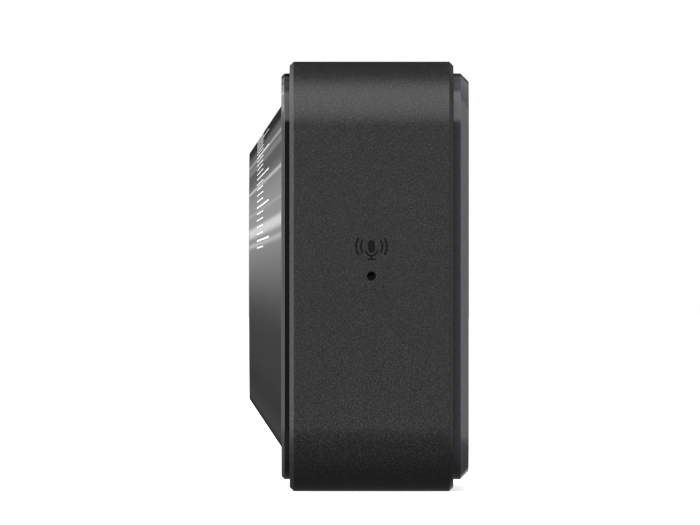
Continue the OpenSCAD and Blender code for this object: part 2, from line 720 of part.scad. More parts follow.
module microphone() color("#c8a85a") {
    block([rim_in_x - 1.6, y_mid - 1.25, z_mid - 1.5], [rim_in_x - 0.4, y_mid + 1.25, z_mid + 1.5]);
}

module mic_boot() color("#1a1a1b") difference() {
    block([rim_in_x - 1.7, y_mid - 2, z_mid - 2], [rim_in_x, y_mid + 2, z_mid + 2]);
    block([rim_in_x - 3, y_mid - 1.25, z_mid - 1.5], [rim_in_x - 0.4, y_mid + 1.25, z_mid + 1.5]);
    rod_x(y_mid, z_mid, 0.5, rim_in_x - 1, rim_in_x + 1);
}

module mic_membrane() color("#0c0c0d") {
    rod_x(y_mid, z_mid, 1.6, rim_x, cav_w / 2);
}

module speaker() color("#26262a") difference() {
    block([-rim_in_x, y_mid - 4.6, speaker_z - 2.6], [-rim_in_x + 3, y_mid + 2.4, speaker_z + 3]);
    block([-rim_in_x - 1, y_mid - 2.4, speaker_z - 1], [-rim_in_x + 0.8, y_mid + 1.8, speaker_z + 1]);
}

module speaker_mesh() color("#151516") {
    block([-cav_w / 2, y_mid - 3.3, speaker_z - 1], [-rim_x, y_mid + 3.3, speaker_z + 1]);
}

module wifi_antenna() color("#b5813d") {
    block([lens_x - 3, y_mid - 3.5, rim_in_top - 0.25], [lens_x + 14, y_mid, rim_in_top]);
}

// ---- display ----

module display_panel() color("#0d0f12") {
    block([-screen_w / 2, y_frame + 0.55, z_mid - screen_h / 2],
        [screen_w / 2, y_frame_back - 0.1, z_mid + screen_h / 2]);
}

module display_flex() color("#a8742f") {
    z_bend = rim_in_z + 3.8;
    block([-5, y_board_back + 0.55, z_bend], [5, y_board_back + 0.7, z_bend + 8]);
    block([-5, y_board_back + 0.55, z_bend], [5, y_frame + 0.55, z_bend + 0.15]);
    block([-5, y_board_back, z_bend + 5.8], [5, y_board_back + 0.6, z_bend + 8.4]);
}

// ---- battery cover, at the bottom ----

door_x0 = bat_x0 + 0.1;
door_x1 = bat_x1 - 0.1;
bat_plug_low = [bay_x0 + 0.3, bay_open_y0 + 0.3];
bat_plug_high = [bay_x1 - 0.3, bay_open_y1 - 0.3];
latch_y0 = bat_y0 + 1.1;
latch_y1 = latch_y0 + 3;
latch_pad_l = 3.7;
latch_pad_x = door_x1 - 6.9;
latch_x0 = latch_pad_x - 0.7;
window_x1 = latch_pad_x + latch_pad_l + latch_travel + 0.5;
latch_top = 0.9;

module plug_outline(low, high, grow, r) {
    soft_rect([low[0] - grow, low[1] - grow], [high[0] + grow, high[1] + grow], r + grow);
}

module seal_ring(low, high) {
    difference() {
        plug_outline(low, high, 0.2, 1);
        plug_outline(low, high, -0.4, 1);
    }
}

module battery_door() color("#3b3b3c") difference() {
    union() {
        along_z(skin, leaf_t) soft_rect([door_x0, bat_y0 + 0.1], [door_x1, bat_hinge_y], 0.4);
        rod_x(bat_hinge_y, hinge_depth, knuckle_r, door_x0, door_x1);
        along_z(leaf_t - 0.1, leaf_t + 0.95) plug_outline(bat_plug_low, bat_plug_high, 0, 1);
    }
    rod_x(bat_hinge_y, hinge_depth, knuckle_bore, door_x0 - 1, door_x1 + 1);
    along_z(leaf_t + 0.2, leaf_t + 0.7) difference() {
        plug_outline(bat_plug_low, bat_plug_high, 1, 1);
        plug_outline(bat_plug_low, bat_plug_high, -0.4, 1);
    }
    block([latch_pad_x - 0.1, latch_y0 - 0.1, 0], [window_x1, latch_y1 + 0.1, 0.6]);
    block([latch_x0 - 0.1, latch_y0 - 0.1, 0.45], [door_x1 + 1, latch_y1 + 0.1, latch_top + 0.05]);
}

module battery_door_seal() color("#5b2a20") {
    along_z(leaf_t + 0.2, leaf_t + 0.7) seal_ring(bat_plug_low, bat_plug_high);
}

module battery_door_pin() color("#a4a6a9") {
    rod_x(bat_hinge_y, hinge_depth, pin_r, bat_x0 - lug_l + 0.15, bat_x1 + lug_l - 0.15);
}

module battery_latch() color("#5a5c5f") {
    rib_pitch = 0.8;
    rib_w = 0.5;
    block([latch_x0, latch_y0, 0.5], [door_x1 - 0.05, latch_y1, latch_top]);
    block([latch_pad_x, latch_y0 + 0.1, 0.35], [latch_pad_x + latch_pad_l, latch_y1 - 0.1, 0.6]);
    for (i = [0 : 4]) translate([rib_pitch * i, 0, 0])
        block([latch_pad_x, latch_y0 + 0.1, 0.2], [latch_pad_x + rib_w, latch_y1 - 0.1, 0.6]);
}

// ---- port cover, on the side away from the microphone ----

port_leaf_x0 = -side_x + skin;
port_leaf_x1 = -side_x + leaf_t;
port_plug_low = [port_in_y0 + 0.3, port_in_z0 + 0.3];
port_plug_high = [y_ledge - 0.15, port_in_z1 - 0.3];

module io_door() color("#3b3b3c") difference() {
    union() {
        along_x(port_leaf_x0, port_leaf_x1)
            soft_rect([port_hinge_y, port_z0 + 0.1], [port_y1 - 0.1, port_z1 - 0.1], 0.4);
        rod_z(port_hinge_x, port_hinge_y, knuckle_r, port_z0 + 0.1, port_z1 - 0.1);
        along_x(port_leaf_x1 - 0.1, port_leaf_x1 + 0.95) plug_outline(port_plug_low, port_plug_high, 0, 1);
    }
    rod_z(port_hinge_x, port_hinge_y, knuckle_bore, port_z0 - 1, port_z1 + 1);
    along_x(port_leaf_x1 + 0.2, port_leaf_x1 + 0.7) difference() {
        plug_outline(port_plug_low, port_plug_high, 1, 1);
        plug_outline(port_plug_low, port_plug_high, -0.4, 1);
    }
    along_x(port_leaf_x1 + 0.05, port_leaf_x1 + 2) plug_outline(port_plug_low, port_plug_high, -0.9, 1);
    rod_z(-side_x - 0.35, port_y1, 0.95, z_mid + 1, z_mid + 5);
}

module io_door_seal() color("#5b2a20") {
    along_x(port_leaf_x1 + 0.2, port_leaf_x1 + 0.7) difference() {
        plug_outline(port_plug_low, port_plug_high, 0.1, 1);
        plug_outline(port_plug_low, port_plug_high, -0.4, 1);
    }
}

module io_door_pin() color("#a4a6a9") {
    rod_z(port_hinge_x, port_hinge_y, pin_r, port_z0 - lug_l + 0.15, port_z1 + lug_l - 0.15);
}

// ---- the nodes ----

body_band();
front_plate();
front_seal();
front_chassis();
rear_frame();
rear_seal();
rear_glass();
frame_screws();
tripod_insert();
lens_bezel();
lens_seal();
bezel_screws();
lens_cover_glass();
lens_baffle();
lens_barrel();
lens_front_element();
lens_inner_elements();
lens_holder();
lens_screws();
ir_filter();
image_sensor();
sensor_board();
main_board();
board_screws();
processor();
thermal_pad();
shield_can();
heat_spreader();
memory_chips();
board_components();
usb_port();
hdmi_port();
card_socket();
memory_card();
battery_pack();
contact_block();
battery_contacts();
shutter_button();
shutter_seal();
shutter_plunger();
shutter_switch();
power_button();
power_switch();
status_light();
microphone();
mic_boot();
mic_membrane();
speaker();
speaker_mesh();
wifi_antenna();
display_panel();
display_flex();
battery_door();
battery_door_seal();
battery_door_pin();
battery_latch();
io_door();
io_door_seal();
io_door_pin();
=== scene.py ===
"""Looks for the slim action camera: bevelled shells, lens, controls and covers round the CAD frame."""
import json
import math

import bmesh
import bpy
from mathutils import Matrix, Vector


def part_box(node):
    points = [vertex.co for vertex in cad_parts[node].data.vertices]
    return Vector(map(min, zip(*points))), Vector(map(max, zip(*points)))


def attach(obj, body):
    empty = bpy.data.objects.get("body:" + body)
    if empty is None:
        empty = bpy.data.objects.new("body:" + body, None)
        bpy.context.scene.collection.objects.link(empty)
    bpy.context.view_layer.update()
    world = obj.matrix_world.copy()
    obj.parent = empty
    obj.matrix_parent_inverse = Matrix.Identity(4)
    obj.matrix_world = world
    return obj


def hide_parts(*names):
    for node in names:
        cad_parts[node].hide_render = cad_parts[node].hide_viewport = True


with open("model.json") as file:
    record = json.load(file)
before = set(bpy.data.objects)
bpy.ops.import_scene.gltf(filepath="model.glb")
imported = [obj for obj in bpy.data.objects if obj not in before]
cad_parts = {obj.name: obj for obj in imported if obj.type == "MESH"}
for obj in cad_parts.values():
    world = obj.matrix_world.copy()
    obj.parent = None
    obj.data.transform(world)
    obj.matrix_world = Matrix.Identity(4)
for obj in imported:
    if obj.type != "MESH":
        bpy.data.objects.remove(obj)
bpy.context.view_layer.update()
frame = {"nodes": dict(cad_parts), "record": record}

MM = 0.001
FINE = 0.05 * MM      # small round on the edges of the large shells
FINER = 0.03 * MM     # the same on the covers and glass
FINEST = 0.02 * MM    # and on the smallest parts
GAP = 0.1 * MM        # gap between a cover and the edge of its opening

# Dimensions that a box alone doesn't tell
CORNER_R = 6.3 * MM
BAND_WALL = 1.05 * MM
BAND_BEVEL = 0.4 * MM
PLATE_BEVEL = 0.3 * MM
GLASS_BEVEL = 0.8 * MM
MIC_HOLE_R = 0.43 * MM
SPEAKER_HOLE_R = 0.45 * MM
SPEAKER_PITCH = 2.2 * MM
KNUCKLE_R = 0.75 * MM
KNUCKLE_BORE = 0.42 * MM
LUG_BORE = 0.36 * MM
DOOR_R = 0.4 * MM

band_low, band_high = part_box("body_band")
plate_low, plate_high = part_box("front_plate")
glass_low, glass_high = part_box("rear_glass")
cone_low, cone_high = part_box("lens_bezel")
cover_low, cover_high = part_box("lens_cover_glass")
mid_y = (band_low.y + band_high.y) / 2
mid_z = (band_low.z + band_high.z) / 2
lens_x = (cone_low.x + cone_high.x) / 2
lens_z = (cone_low.z + cone_high.z) / 2
cone_base_r = (cone_high.x - cone_low.x) / 2
cover_r = (cover_high.x - cover_low.x) / 2 + 0.05 * MM
nose_r = cover_r + 0.6 * MM


def middle(node):
    """The middle of a node's box."""
    low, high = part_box(node)
    return (low + high) / 2


# ---------------------------------------------------------------- mesh building

def place(axis, u, v, t):
    """The point at u, v across an axis and t along it."""
    return {"x": (t, u, v), "y": (u, t, v), "z": (u, v, t)}[axis]


def new_object(name, points, faces):
    """Adds a mesh object to the scene, cleaned."""
    mesh = bpy.data.meshes.new(name)
    mesh.from_pydata([tuple(p) for p in points], [], faces)
    made = bpy.data.objects.new(name, mesh)
    bpy.context.scene.collection.objects.link(made)
    tidy_mesh(mesh)
    return made


def tidy_mesh(mesh):
    """Joins doubled points and turns every face outwards."""
    work = bmesh.new()
    work.from_mesh(mesh)
    bmesh.ops.remove_doubles(work, verts=work.verts, dist=1e-8)
    bmesh.ops.dissolve_degenerate(work, edges=work.edges, dist=1e-8)
    bmesh.ops.recalc_face_normals(work, faces=work.faces)
    work.to_mesh(mesh)
    work.free()


def skin(name, rings, loop=False):
    """A closed surface through rings of points; a loop joins the last ring to the first."""
    count = len(rings[0])
    points = [p for ring in rings for p in ring]
    faces = []
    for k in range(len(rings) if loop else len(rings) - 1):
        a, b = k * count, (k + 1) % len(rings) * count
        faces += [(a + i, a + (i + 1) % count, b + (i + 1) % count, b + i) for i in range(count)]
    if not loop:
        faces.append(tuple(range(count))[::-1])
        faces.append(tuple(range(len(points) - count, len(points))))
    return new_object(name, points, faces)


def soften(corners, radius, closed=False):
    """A line through 2D corners, with each corner turned into a small arc."""
    steps = 3
    corners = [Vector(c) for c in corners]
    line = []
    for i, here in enumerate(corners):
        if not closed and i in (0, len(corners) - 1):
            line.append(here)
            continue
        to_last = corners[i - 1] - here
        to_next = corners[(i + 1) % len(corners)] - here
        reach = min(radius, 0.45 * to_last.length, 0.45 * to_next.length)
        start = here + to_last.normalized() * reach
        end = here + to_next.normalized() * reach
        for k in range(steps + 1):
            t = k / steps
            line.append(start * (1 - t) ** 2 + here * (2 * t * (1 - t)) + end * t ** 2)
    return line


# An outline is a function of grow: it gives the points of a closed line, grown outwards by that much.

def soft_rect(low, high, r, steps):
    """Outline of a rectangle with round corners."""
    def outline(grow=0.0):
        turn = max(r + grow, 0)
        inset = r if turn else -grow
        corners = [(high[0] - inset, high[1] - inset, 0), (low[0] + inset, high[1] - inset, 90),
                   (low[0] + inset, low[1] + inset, 180), (high[0] - inset, low[1] + inset, 270)]
        points = []
        for u, v, start in corners:
            for k in range(steps + 1):
                a = math.radians(start + 90 * k / steps)
                points.append((u + turn * math.cos(a), v + turn * math.sin(a)))
        return points
    return outline


def disc(u, v, r, steps=64):
    """Outline of a circle."""
    def outline(grow=0.0):
        angles = [2 * math.pi * k / steps for k in range(steps)]
        return [(u + (r + grow) * math.cos(a), v + (r + grow) * math.sin(a)) for a in angles]
    return outline


def arc_stroke(u, v, r, width, start, end, steps=14):
    """Outline of a curved line of even width, between two angles in degrees."""
    def outline(grow=0.0):
        reach = math.degrees(grow / r)
        span = end - start + 2 * reach
        angles = [math.radians(start - reach + span * k / steps) for k in range(steps + 1)]
        outer, inner = r + width / 2 + grow, r - width / 2 - grow
        return ([(u + outer * math.cos(a), v + outer * math.sin(a)) for a in angles]
                + [(u + inner * math.cos(a), v + inner * math.sin(a)) for a in reversed(angles)])
    return outline


def stack(name, axis, outline, levels, loop=False):
    """A solid whose outline is drawn at each (place along the axis, grow) level."""
    rings = [[place(axis, u, v, t) for u, v in outline(grow)] for t, grow in levels]
    return skin(name, rings, loop)


def slab_levels(t0, t1, bevel0=0.0, bevel1=0.0, fine=FINE):
    """Levels of a slab with bevelled rims, each edge finely rounded."""
    rim = 0.2 * MM
    corners = [(t0, -bevel0 - rim), (t0, -bevel0)]
    if bevel0:
        corners.append((t0 + bevel0, 0))
    if bevel1:
        corners.append((t1 - bevel1, 0))
    corners += [(t1, -bevel1), (t1, -bevel1 - rim)]
    return soften(corners, fine)


def opening(axis, outline, surface, depth, flare):
    """A cutter through a wall whose outer face is at surface: its mouth has a small bevel."""
    out = 1 if depth < surface else -1
    wider = flare + 0.02 * MM
    levels = [(surface + out * MM, wider), (surface, flare), (surface - out * flare, 0), (depth, 0)]
    return stack("cutter", axis, outline, levels)


def lathe(name, axis, centre, profile, steps=128, fine=FINE):
    """A closed (radius, place along the axis) profile, turned about an axis through centre."""
    line = soften(profile, fine, closed=True)
    rings = []
    for k in range(steps):
        a = 2 * math.pi * k / steps
        rings.append([place(axis, centre[0] + r * math.cos(a), centre[1] + r * math.sin(a), t)
                      for r, t in line])
    return skin(name, rings, loop=True)


def rod(axis, u, v, r, t0, t1, bevel=0.06 * MM):
    """A round bar along an axis."""
    return stack("rod", axis, disc(u, v, r, 40), slab_levels(t0, t1, bevel, bevel, FINEST))


def extrude(axis, points, t0, t1):
    """A flat figure drawn out along an axis."""
    return skin("extrusion", [[place(axis, u, v, t) for u, v in points] for t in (t0, t1)])


def combine(piece, others, operation):
    """Cuts the other solids from a piece, or joins them to it, and removes them."""
    for other in others:
        change = piece.modifiers.new("combine", "BOOLEAN")
        change.operation = operation
        change.solver = "EXACT"
        change.object = other
        changed = piece.evaluated_get(bpy.context.evaluated_depsgraph_get())
        settled = bpy.data.meshes.new_from_object(changed)
        piece.modifiers.clear()
        piece.data = settled
        bpy.data.objects.remove(other)


def cut(piece, *cutters):
    """Takes solids away from a piece."""
    combine(piece, cutters, "DIFFERENCE")


def join(piece, *others):
    """Makes solids one with a piece."""
    combine(piece, others, "UNION")


def show(piece, name, body, slot, replaces=(), material=None, sharp=32):
    """Smooths a finished piece, gives it its material and hands it to its body."""
    piece.name = name
    mesh = piece.data
    mesh.name = name
    tidy_mesh(mesh)
    mesh.polygons.foreach_set("use_smooth", [True] * len(mesh.polygons))
    mesh.set_sharp_from_angle(angle=math.radians(sharp))
    evened = piece.modifiers.new("even_normals", "WEIGHTED_NORMAL")
    evened.keep_sharp = True
    evened.weight = 80
    mesh.materials.clear()
    mesh.materials.append(material or materials[slot])
    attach(piece, body)
    if replaces:
        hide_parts(*replaces)


# ---------------------------------------------------------------- materials

class Surface:
    """One node material, with its own coordinates, noises and shader."""

    def __init__(self, name):
        self.material = bpy.data.materials.new(name)
        self.material.use_nodes = True
        self.tree = self.material.node_tree
        self.tree.nodes.clear()
        self.output = self.add("ShaderNodeOutputMaterial")
        self.shader = self.add("ShaderNodeBsdfPrincipled")
        self.join(self.shader.outputs[0], self.output.inputs["Surface"])
        self.where = self.add("ShaderNodeTexCoord").outputs["Object"]

    def add(self, kind, **settings):
        made = self.tree.nodes.new(kind)
        for key, value in settings.items():
            setattr(made, key, value)
        return made

    def join(self, source, target):
        self.tree.links.new(source, target)

    def feed(self, socket, value):
        if isinstance(value, bpy.types.NodeSocket):
            self.join(value, socket)
        else:
            socket.default_value = value

    def noise(self, size, detail=2.0, stretch=(1, 1, 1)):
        """Noise whose spots are about size across, in metres, drawn out along an axis if asked."""
        spread = self.add("ShaderNodeMapping")
        self.join(self.where, spread.inputs["Vector"])
        spread.inputs["Scale"].default_value = [s / size for s in stretch]
        spots = self.add("ShaderNodeTexNoise")
        spots.inputs["Scale"].default_value = 1
        spots.inputs["Detail"].default_value = detail
        self.join(spread.outputs[0], spots.inputs["Vector"])
        return spots.outputs["Fac"]

    def math(self, operation, a, b=0.0):
        made = self.add("ShaderNodeMath", operation=operation)
        self.feed(made.inputs[0], a)
        self.feed(made.inputs[1], b)
        return made.outputs[0]

    def spread(self, value, low, high, start=0.3, end=0.7):
        """Maps a value from start..end to low..high."""
        made = self.add("ShaderNodeMapRange")
        self.join(value, made.inputs["Value"])
        for key, number in (("From Min", start), ("From Max", end), ("To Min", low), ("To Max", high)):
            made.inputs[key].default_value = number
        return made.outputs["Result"]

    def mix(self, share, a, b):
        made = self.add("ShaderNodeMix", data_type="RGBA")
        self.feed(made.inputs["Factor"], share)
        self.feed(made.inputs["A"], (*a, 1) if isinstance(a, tuple) else a)
        self.feed(made.inputs["B"], (*b, 1) if isinstance(b, tuple) else b)
        return made.outputs["Result"]

    def relief(self, height, depth):
        """Bump of a real depth in metres."""
        made = self.add("ShaderNodeBump")
        made.inputs["Distance"].default_value = depth
        self.join(height, made.inputs["Height"])
        return made.outputs["Normal"]

    def set(self, **values):
        for key, value in values.items():
            self.feed(self.shader.inputs[key.replace("_", " ").title().replace("Ior", "IOR")], value)


def tint(colour, factor):
    """A colour made darker or lighter."""
    return tuple(min(c * factor, 1) for c in colour)


def moulded(name, colour, roughness, grain, depth, vary=0.14, drift=0.05, metallic=0.0, specular=0.5):
    """A surface with fine grain and slow drift in its colour, roughness and relief. Sizes in mm."""
    s = Surface(name)
    fine = s.noise(grain * MM, 1.0)
    slow = s.noise(grain * MM * 25, 3.0)
    share = s.math("ADD", s.math("MULTIPLY", fine, 0.75), s.math("MULTIPLY", slow, 0.25))
    s.set(base_color=s.mix(s.spread(share, 0, 1), tint(colour, 1 - vary), tint(colour, 1 + vary)),
          roughness=s.spread(slow, roughness - drift, roughness + drift),
          normal=s.relief(fine, depth * MM), metallic=metallic, specular_ior_level=specular)
    return s.material


def flecked_paint(name, colour, fleck_colour, roughness):
    """Dark powder coat on metal: fine relief with tiny, slightly metallic flecks."""
    s = Surface(name)
    relief = s.noise(0.16 * MM, 1.0)
    fleck = s.spread(s.noise(0.13 * MM, 0.0), 0, 1, 0.46, 0.80)
    slow = s.noise(4 * MM, 3.0)
    s.set(base_color=s.mix(fleck, colour, fleck_colour), metallic=s.math("MULTIPLY", fleck, 0.25),
          roughness=s.spread(slow, roughness - 0.01, roughness + 0.01), normal=s.relief(relief, 0.010 * MM))
    return s.material


def see_through(name, colour, gloss_colour, ior=1.5, coating=0.0):
    """Clear glass with a coloured reflection, less what its coating takes away."""
    clear, roughness = 0.96, 0.01
    s = Surface(name)
    s.tree.nodes.remove(s.shader)
    clear_part = s.add("ShaderNodeBsdfTransparent")
    film = s.noise(9 * MM, 1.0)
    s.feed(clear_part.inputs["Color"], s.mix(film, tint(colour, clear), colour))
    shine = s.add("ShaderNodeBsdfGlossy")
    shine.inputs["Roughness"].default_value = roughness
    s.feed(shine.inputs["Color"], s.mix(film, gloss_colour, tint(gloss_colour, 0.8)))
    edge = s.add("ShaderNodeFresnel")
    edge.inputs["IOR"].default_value = ior
    blend = s.add("ShaderNodeMixShader")
    s.feed(blend.inputs["Fac"], s.math("MAXIMUM", s.math("SUBTRACT", edge.outputs[0], coating), 0.0))
    s.join(clear_part.outputs[0], blend.inputs[1])
    s.join(shine.outputs[0], blend.inputs[2])
    s.join(blend.outputs[0], s.output.inputs["Surface"])
    return s.material


def coated_lens():
    """A dark lens whose coating reflects violet, paler towards the rim."""
    s = Surface("lens_glass")
    film = s.noise(6 * MM, 2.0)
    s.set(base_color=s.mix(film, (0.002, 0.002, 0.004), (0.007, 0.005, 0.014)), ior=1.65,
          roughness=s.spread(film, 0.01, 0.03), specular_tint=(0.52, 0.36, 1.0, 1.0))
    return s.material


def clear_body(name, colour):
    """The inside faces of a lens, which tint but don't reflect."""
    s = Surface(name)
    s.tree.nodes.remove(s.shader)
    clear_part = s.add("ShaderNodeBsdfTransparent")
    s.feed(clear_part.inputs["Color"], s.mix(s.noise(9 * MM, 1.0), tint(colour, 0.97), colour))
    s.join(clear_part.outputs[0], s.output.inputs["Surface"])
    return s.material


def display_glass():
    """Black-backed glass whose screen area is a shade lighter than its border."""
    s = Surface("rear_glass")
    parts = s.add("ShaderNodeSeparateXYZ")
    s.join(s.where, parts.inputs[0])
    screen_w, screen_h, soft = 45.6 * MM, 32.2 * MM, 0.15 * MM
    side = s.math("ABSOLUTE", parts.outputs["X"])
    up = s.math("ABSOLUTE", s.math("SUBTRACT", parts.outputs["Z"], mid_z))
    in_w = s.spread(side, 1, 0, screen_w / 2 - soft, screen_w / 2 + soft)
    in_h = s.spread(up, 1, 0, screen_h / 2 - soft, screen_h / 2 + soft)
    pixels = s.noise(0.12 * MM, 0.0)
    smear = s.noise(11 * MM, 3.0)
    border = (0.004, 0.004, 0.005)
    screen = s.mix(s.spread(pixels, 0, 1), (0.010, 0.011, 0.014), (0.014, 0.015, 0.019))
    s.set(base_color=s.mix(s.math("MULTIPLY", in_w, in_h), border, screen),
          roughness=s.spread(smear, 0.015, 0.06), ior=1.5, specular_ior_level=0.5)
    return s.material


def edge_with_painted_sheen(name, colour, roughness):
    """The rim of a glass or gloss panel, lighter than its black face: a painted sheen for the light its
    bevel catches.
    """
    return moulded(name, colour, roughness, grain=0.5, depth=0.0004, vary=0.08, drift=0.02)


def battery_film():
    """Dark blue printed wrap, creased along the cell, with a pale stripe at its foot."""
    s = Surface("battery_wrap")
    parts = s.add("ShaderNodeSeparateXYZ")
    s.join(s.where, parts.inputs[0])
    crease = s.noise(2.5 * MM, 3.0, (1, 1, 0.4))
    stripe_top, stripe_edge = 6.2 * MM, 0.2 * MM
    stripe = s.spread(parts.outputs["Z"], 1, 0, stripe_top, stripe_top + stripe_edge)
    blue = s.mix(s.spread(crease, 0, 1), (0.025, 0.05, 0.10), (0.04, 0.07, 0.13))
    s.set(base_color=s.mix(stripe, blue, (0.35, 0.36, 0.38)), roughness=s.spread(crease, 0.25, 0.4),
          normal=s.relief(crease, 0.05 * MM))
    return s.material


def circuit_board():
    """Green solder mask over lighter copper tracks."""
    s = Surface("circuit_board")
    tracks = s.add("ShaderNodeTexBrick")
    s.join(s.where, tracks.inputs["Vector"])
    per_metre = 700
    for key, value in (("Scale", per_metre), ("Mortar Size", 0.06), ("Color1", (0.008, 0.075, 0.036, 1)),
                       ("Color2", (0.010, 0.090, 0.045, 1)), ("Mortar", (0.025, 0.16, 0.085, 1))):
        tracks.inputs[key].default_value = value
    s.set(base_color=tracks.outputs["Color"], roughness=s.spread(s.noise(1.2 * MM), 0.3, 0.45),
          normal=s.relief(tracks.outputs["Fac"], 0.02 * MM))
    return s.material


# Colour, roughness, size and depth of the grain in mm, and what else moulded() takes
plain_looks = {
    "gloss_plate": ((0.004, 0.004, 0.0045), 0.035, 0.9, 0.0002, dict(drift=0.015)),
    "spun_cone": ((0.023, 0.023, 0.0235), 0.055, 0.7, 0.0002, dict(vary=0.1, drift=0.02)),
    "inner_plastic": ((0.02, 0.021, 0.023), 0.55, 0.3, 0.006, {}),
    "light_trap": ((0.004, 0.004, 0.0042), 0.5, 0.15, 0.003, dict(specular=0.15)),
    "cast_frame": ((0.24, 0.24, 0.25), 0.42, 0.35, 0.01, dict(metallic=1.0)),
    "steel": ((0.52, 0.52, 0.53), 0.3, 0.12, 0.003, dict(metallic=1.0)),
    "socket_nickel": ((0.56, 0.53, 0.47), 0.24, 0.15, 0.002, dict(metallic=1.0)),
    "black_rubber": ((0.012, 0.012, 0.012), 0.72, 0.25, 0.008, {}),
    "red_silicone": ((0.26, 0.045, 0.028), 0.45, 0.4, 0.004, {}),
    "chip": ((0.015, 0.015, 0.017), 0.5, 0.18, 0.004, {}),
    "gold": ((0.8, 0.58, 0.22), 0.22, 0.3, 0.001, dict(metallic=1.0)),
    "thermal_pad": ((0.2, 0.26, 0.4), 0.8, 0.4, 0.02, {}),
    "dark_button": ((0.011, 0.011, 0.0115), 0.4, 0.12, 0.006, dict(vary=0.25)),
    "light_pipe": ((0.55, 0.72, 0.62), 0.3, 0.3, 0.001, {}),
    "display": ((0.006, 0.007, 0.009), 0.06, 0.8, 0.0002, {}),
    "flex": ((0.4, 0.17, 0.03), 0.4, 0.5, 0.003, {}),
    "foil_antenna": ((0.5, 0.25, 0.08), 0.3, 0.3, 0.003, dict(metallic=1.0)),
    "card_black": ((0.012, 0.012, 0.013), 0.42, 0.2, 0.004, {}),
    "sensor": ((0.04, 0.05, 0.08), 0.15, 0.08, 0.002, dict(vary=0.3)),
}
materials = {name: moulded(name, colour, roughness, grain, depth, **extra)
             for name, (colour, roughness, grain, depth, extra) in plain_looks.items()}
materials.update({
    "grained_body": flecked_paint("grained_body", (0.0045, 0.0045, 0.0046), (0.036, 0.036, 0.036), 0.42),
    "cover_glass": see_through("cover_glass", (0.96, 0.97, 0.98), (0.75, 0.9, 1.0), ior=1.25, coating=0.02),
    "filter_glass": see_through("filter_glass", (0.45, 0.72, 0.75), (0.95, 0.5, 0.4)),
    "lens_glass": coated_lens(),
    "rear_glass": display_glass(),
    "circuit_board": circuit_board(),
    "battery_wrap": battery_film(),
})
inside_glass = clear_body("inside_glass", (0.97, 0.98, 0.98))
print_white = moulded("print_white", (0.72, 0.73, 0.74), 0.5, grain=0.1, depth=0.002, vary=0.06)
print_dark = moulded("print_dark", (0.004, 0.004, 0.004), 0.6, grain=0.1, depth=0.003, specular=0.12)
# The rims' and sides' lighter colours are a painted sheen, standing in for the light that the bevels catch
plate_rim_painted_sheen = edge_with_painted_sheen("plate_rim_painted_sheen", (0.046, 0.046, 0.048), 0.09)
glass_rim_painted_sheen = edge_with_painted_sheen("glass_rim_painted_sheen", (0.074, 0.083, 0.089), 0.14)
glass_side_painted_sheen = edge_with_painted_sheen("glass_side_painted_sheen", (0.040, 0.038, 0.046), 0.12)

for part in frame["record"]["subparts"]:
    cad_mesh = frame["nodes"][part["node"]].data
    cad_mesh.materials.clear()
    cad_mesh.materials.append(materials[part["material_slot"]])


# ---------------------------------------------------------------- housing

def face_outline(inset, steps=20):
    """Outline of the body, seen from the front, set in by inset."""
    low = (band_low.x + inset, band_low.z + inset)
    high = (band_high.x - inset, band_high.z - inset)
    return soft_rect(low, high, CORNER_R - inset, steps)


def face_ring(name, inset, width, y0, y1, bevel=0.0):
    """A ring that follows the body's outline, such as the band itself or its inner ledge."""
    corners = [(y0, 0), (y1, 0), (y1, -width), (y0, -width)]
    if bevel:
        corners = [(y0 + bevel, 0), (y1 - bevel, 0), (y1, -bevel), *corners[2:], (y0, -bevel)]
    return stack(name, "y", face_outline(inset), soften(corners, FINE, closed=True), loop=True)


def microphone_mark():
    """Outlines of a small microphone sign with two sound waves on each side, in Y and Z."""
    u, v = mid_y, mid_z + 2.6 * MM
    line = 0.17 * MM

    def block(half_width, low, high, r, steps):
        return soft_rect((u - half_width, v + low), (u + half_width, v + high), r, steps)

    head = block(0.33 * MM, -0.28 * MM, 0.95 * MM, 0.325 * MM, 8)
    cradle = arc_stroke(u, v + 0.02 * MM, 0.6 * MM, line, 190, 350)
    stalk = block(line / 2, -0.88 * MM, -0.62 * MM, 0.02 * MM, 3)
    foot = block(0.42 * MM, -1.02 * MM, -0.85 * MM, 0.05 * MM, 4)
    half_wave = 34
    waves = [arc_stroke(u, v + 0.33 * MM, r, line, side - half_wave, side + half_wave)
             for r in (1.05 * MM, 1.5 * MM) for side in (0, 180)]
    return [head, cradle, stalk, foot, *waves]


def pin_line(axis, pin):
    """Where a hinge pin stands across its axis, and where it starts and ends along it."""
    along = "xyz".index(axis)
    low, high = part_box(pin)
    u, v = [c for k, c in enumerate(middle(pin)) if k != along]
    return u, v, low[along], high[along]


def hinge_lugs(axis, pin, door):
    """The two ears of the band that hold the ends of a door's pin."""
    u, v, start, end = pin_line(axis, pin)
    along = "xyz".index(axis)
    door_low, door_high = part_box(door)
    past = 0.15 * MM
    return [rod(axis, u, v, KNUCKLE_R, start - past, door_low[along] - GAP),
            rod(axis, u, v, KNUCKLE_R, door_high[along] + GAP, end + past)]


def hinge_bore(axis, pin):
    """A cutter for the bores in the lugs."""
    u, v, start, end = pin_line(axis, pin)
    past = 0.05 * MM
    return rod(axis, u, v, LUG_BORE, start - past, end + past, 0)


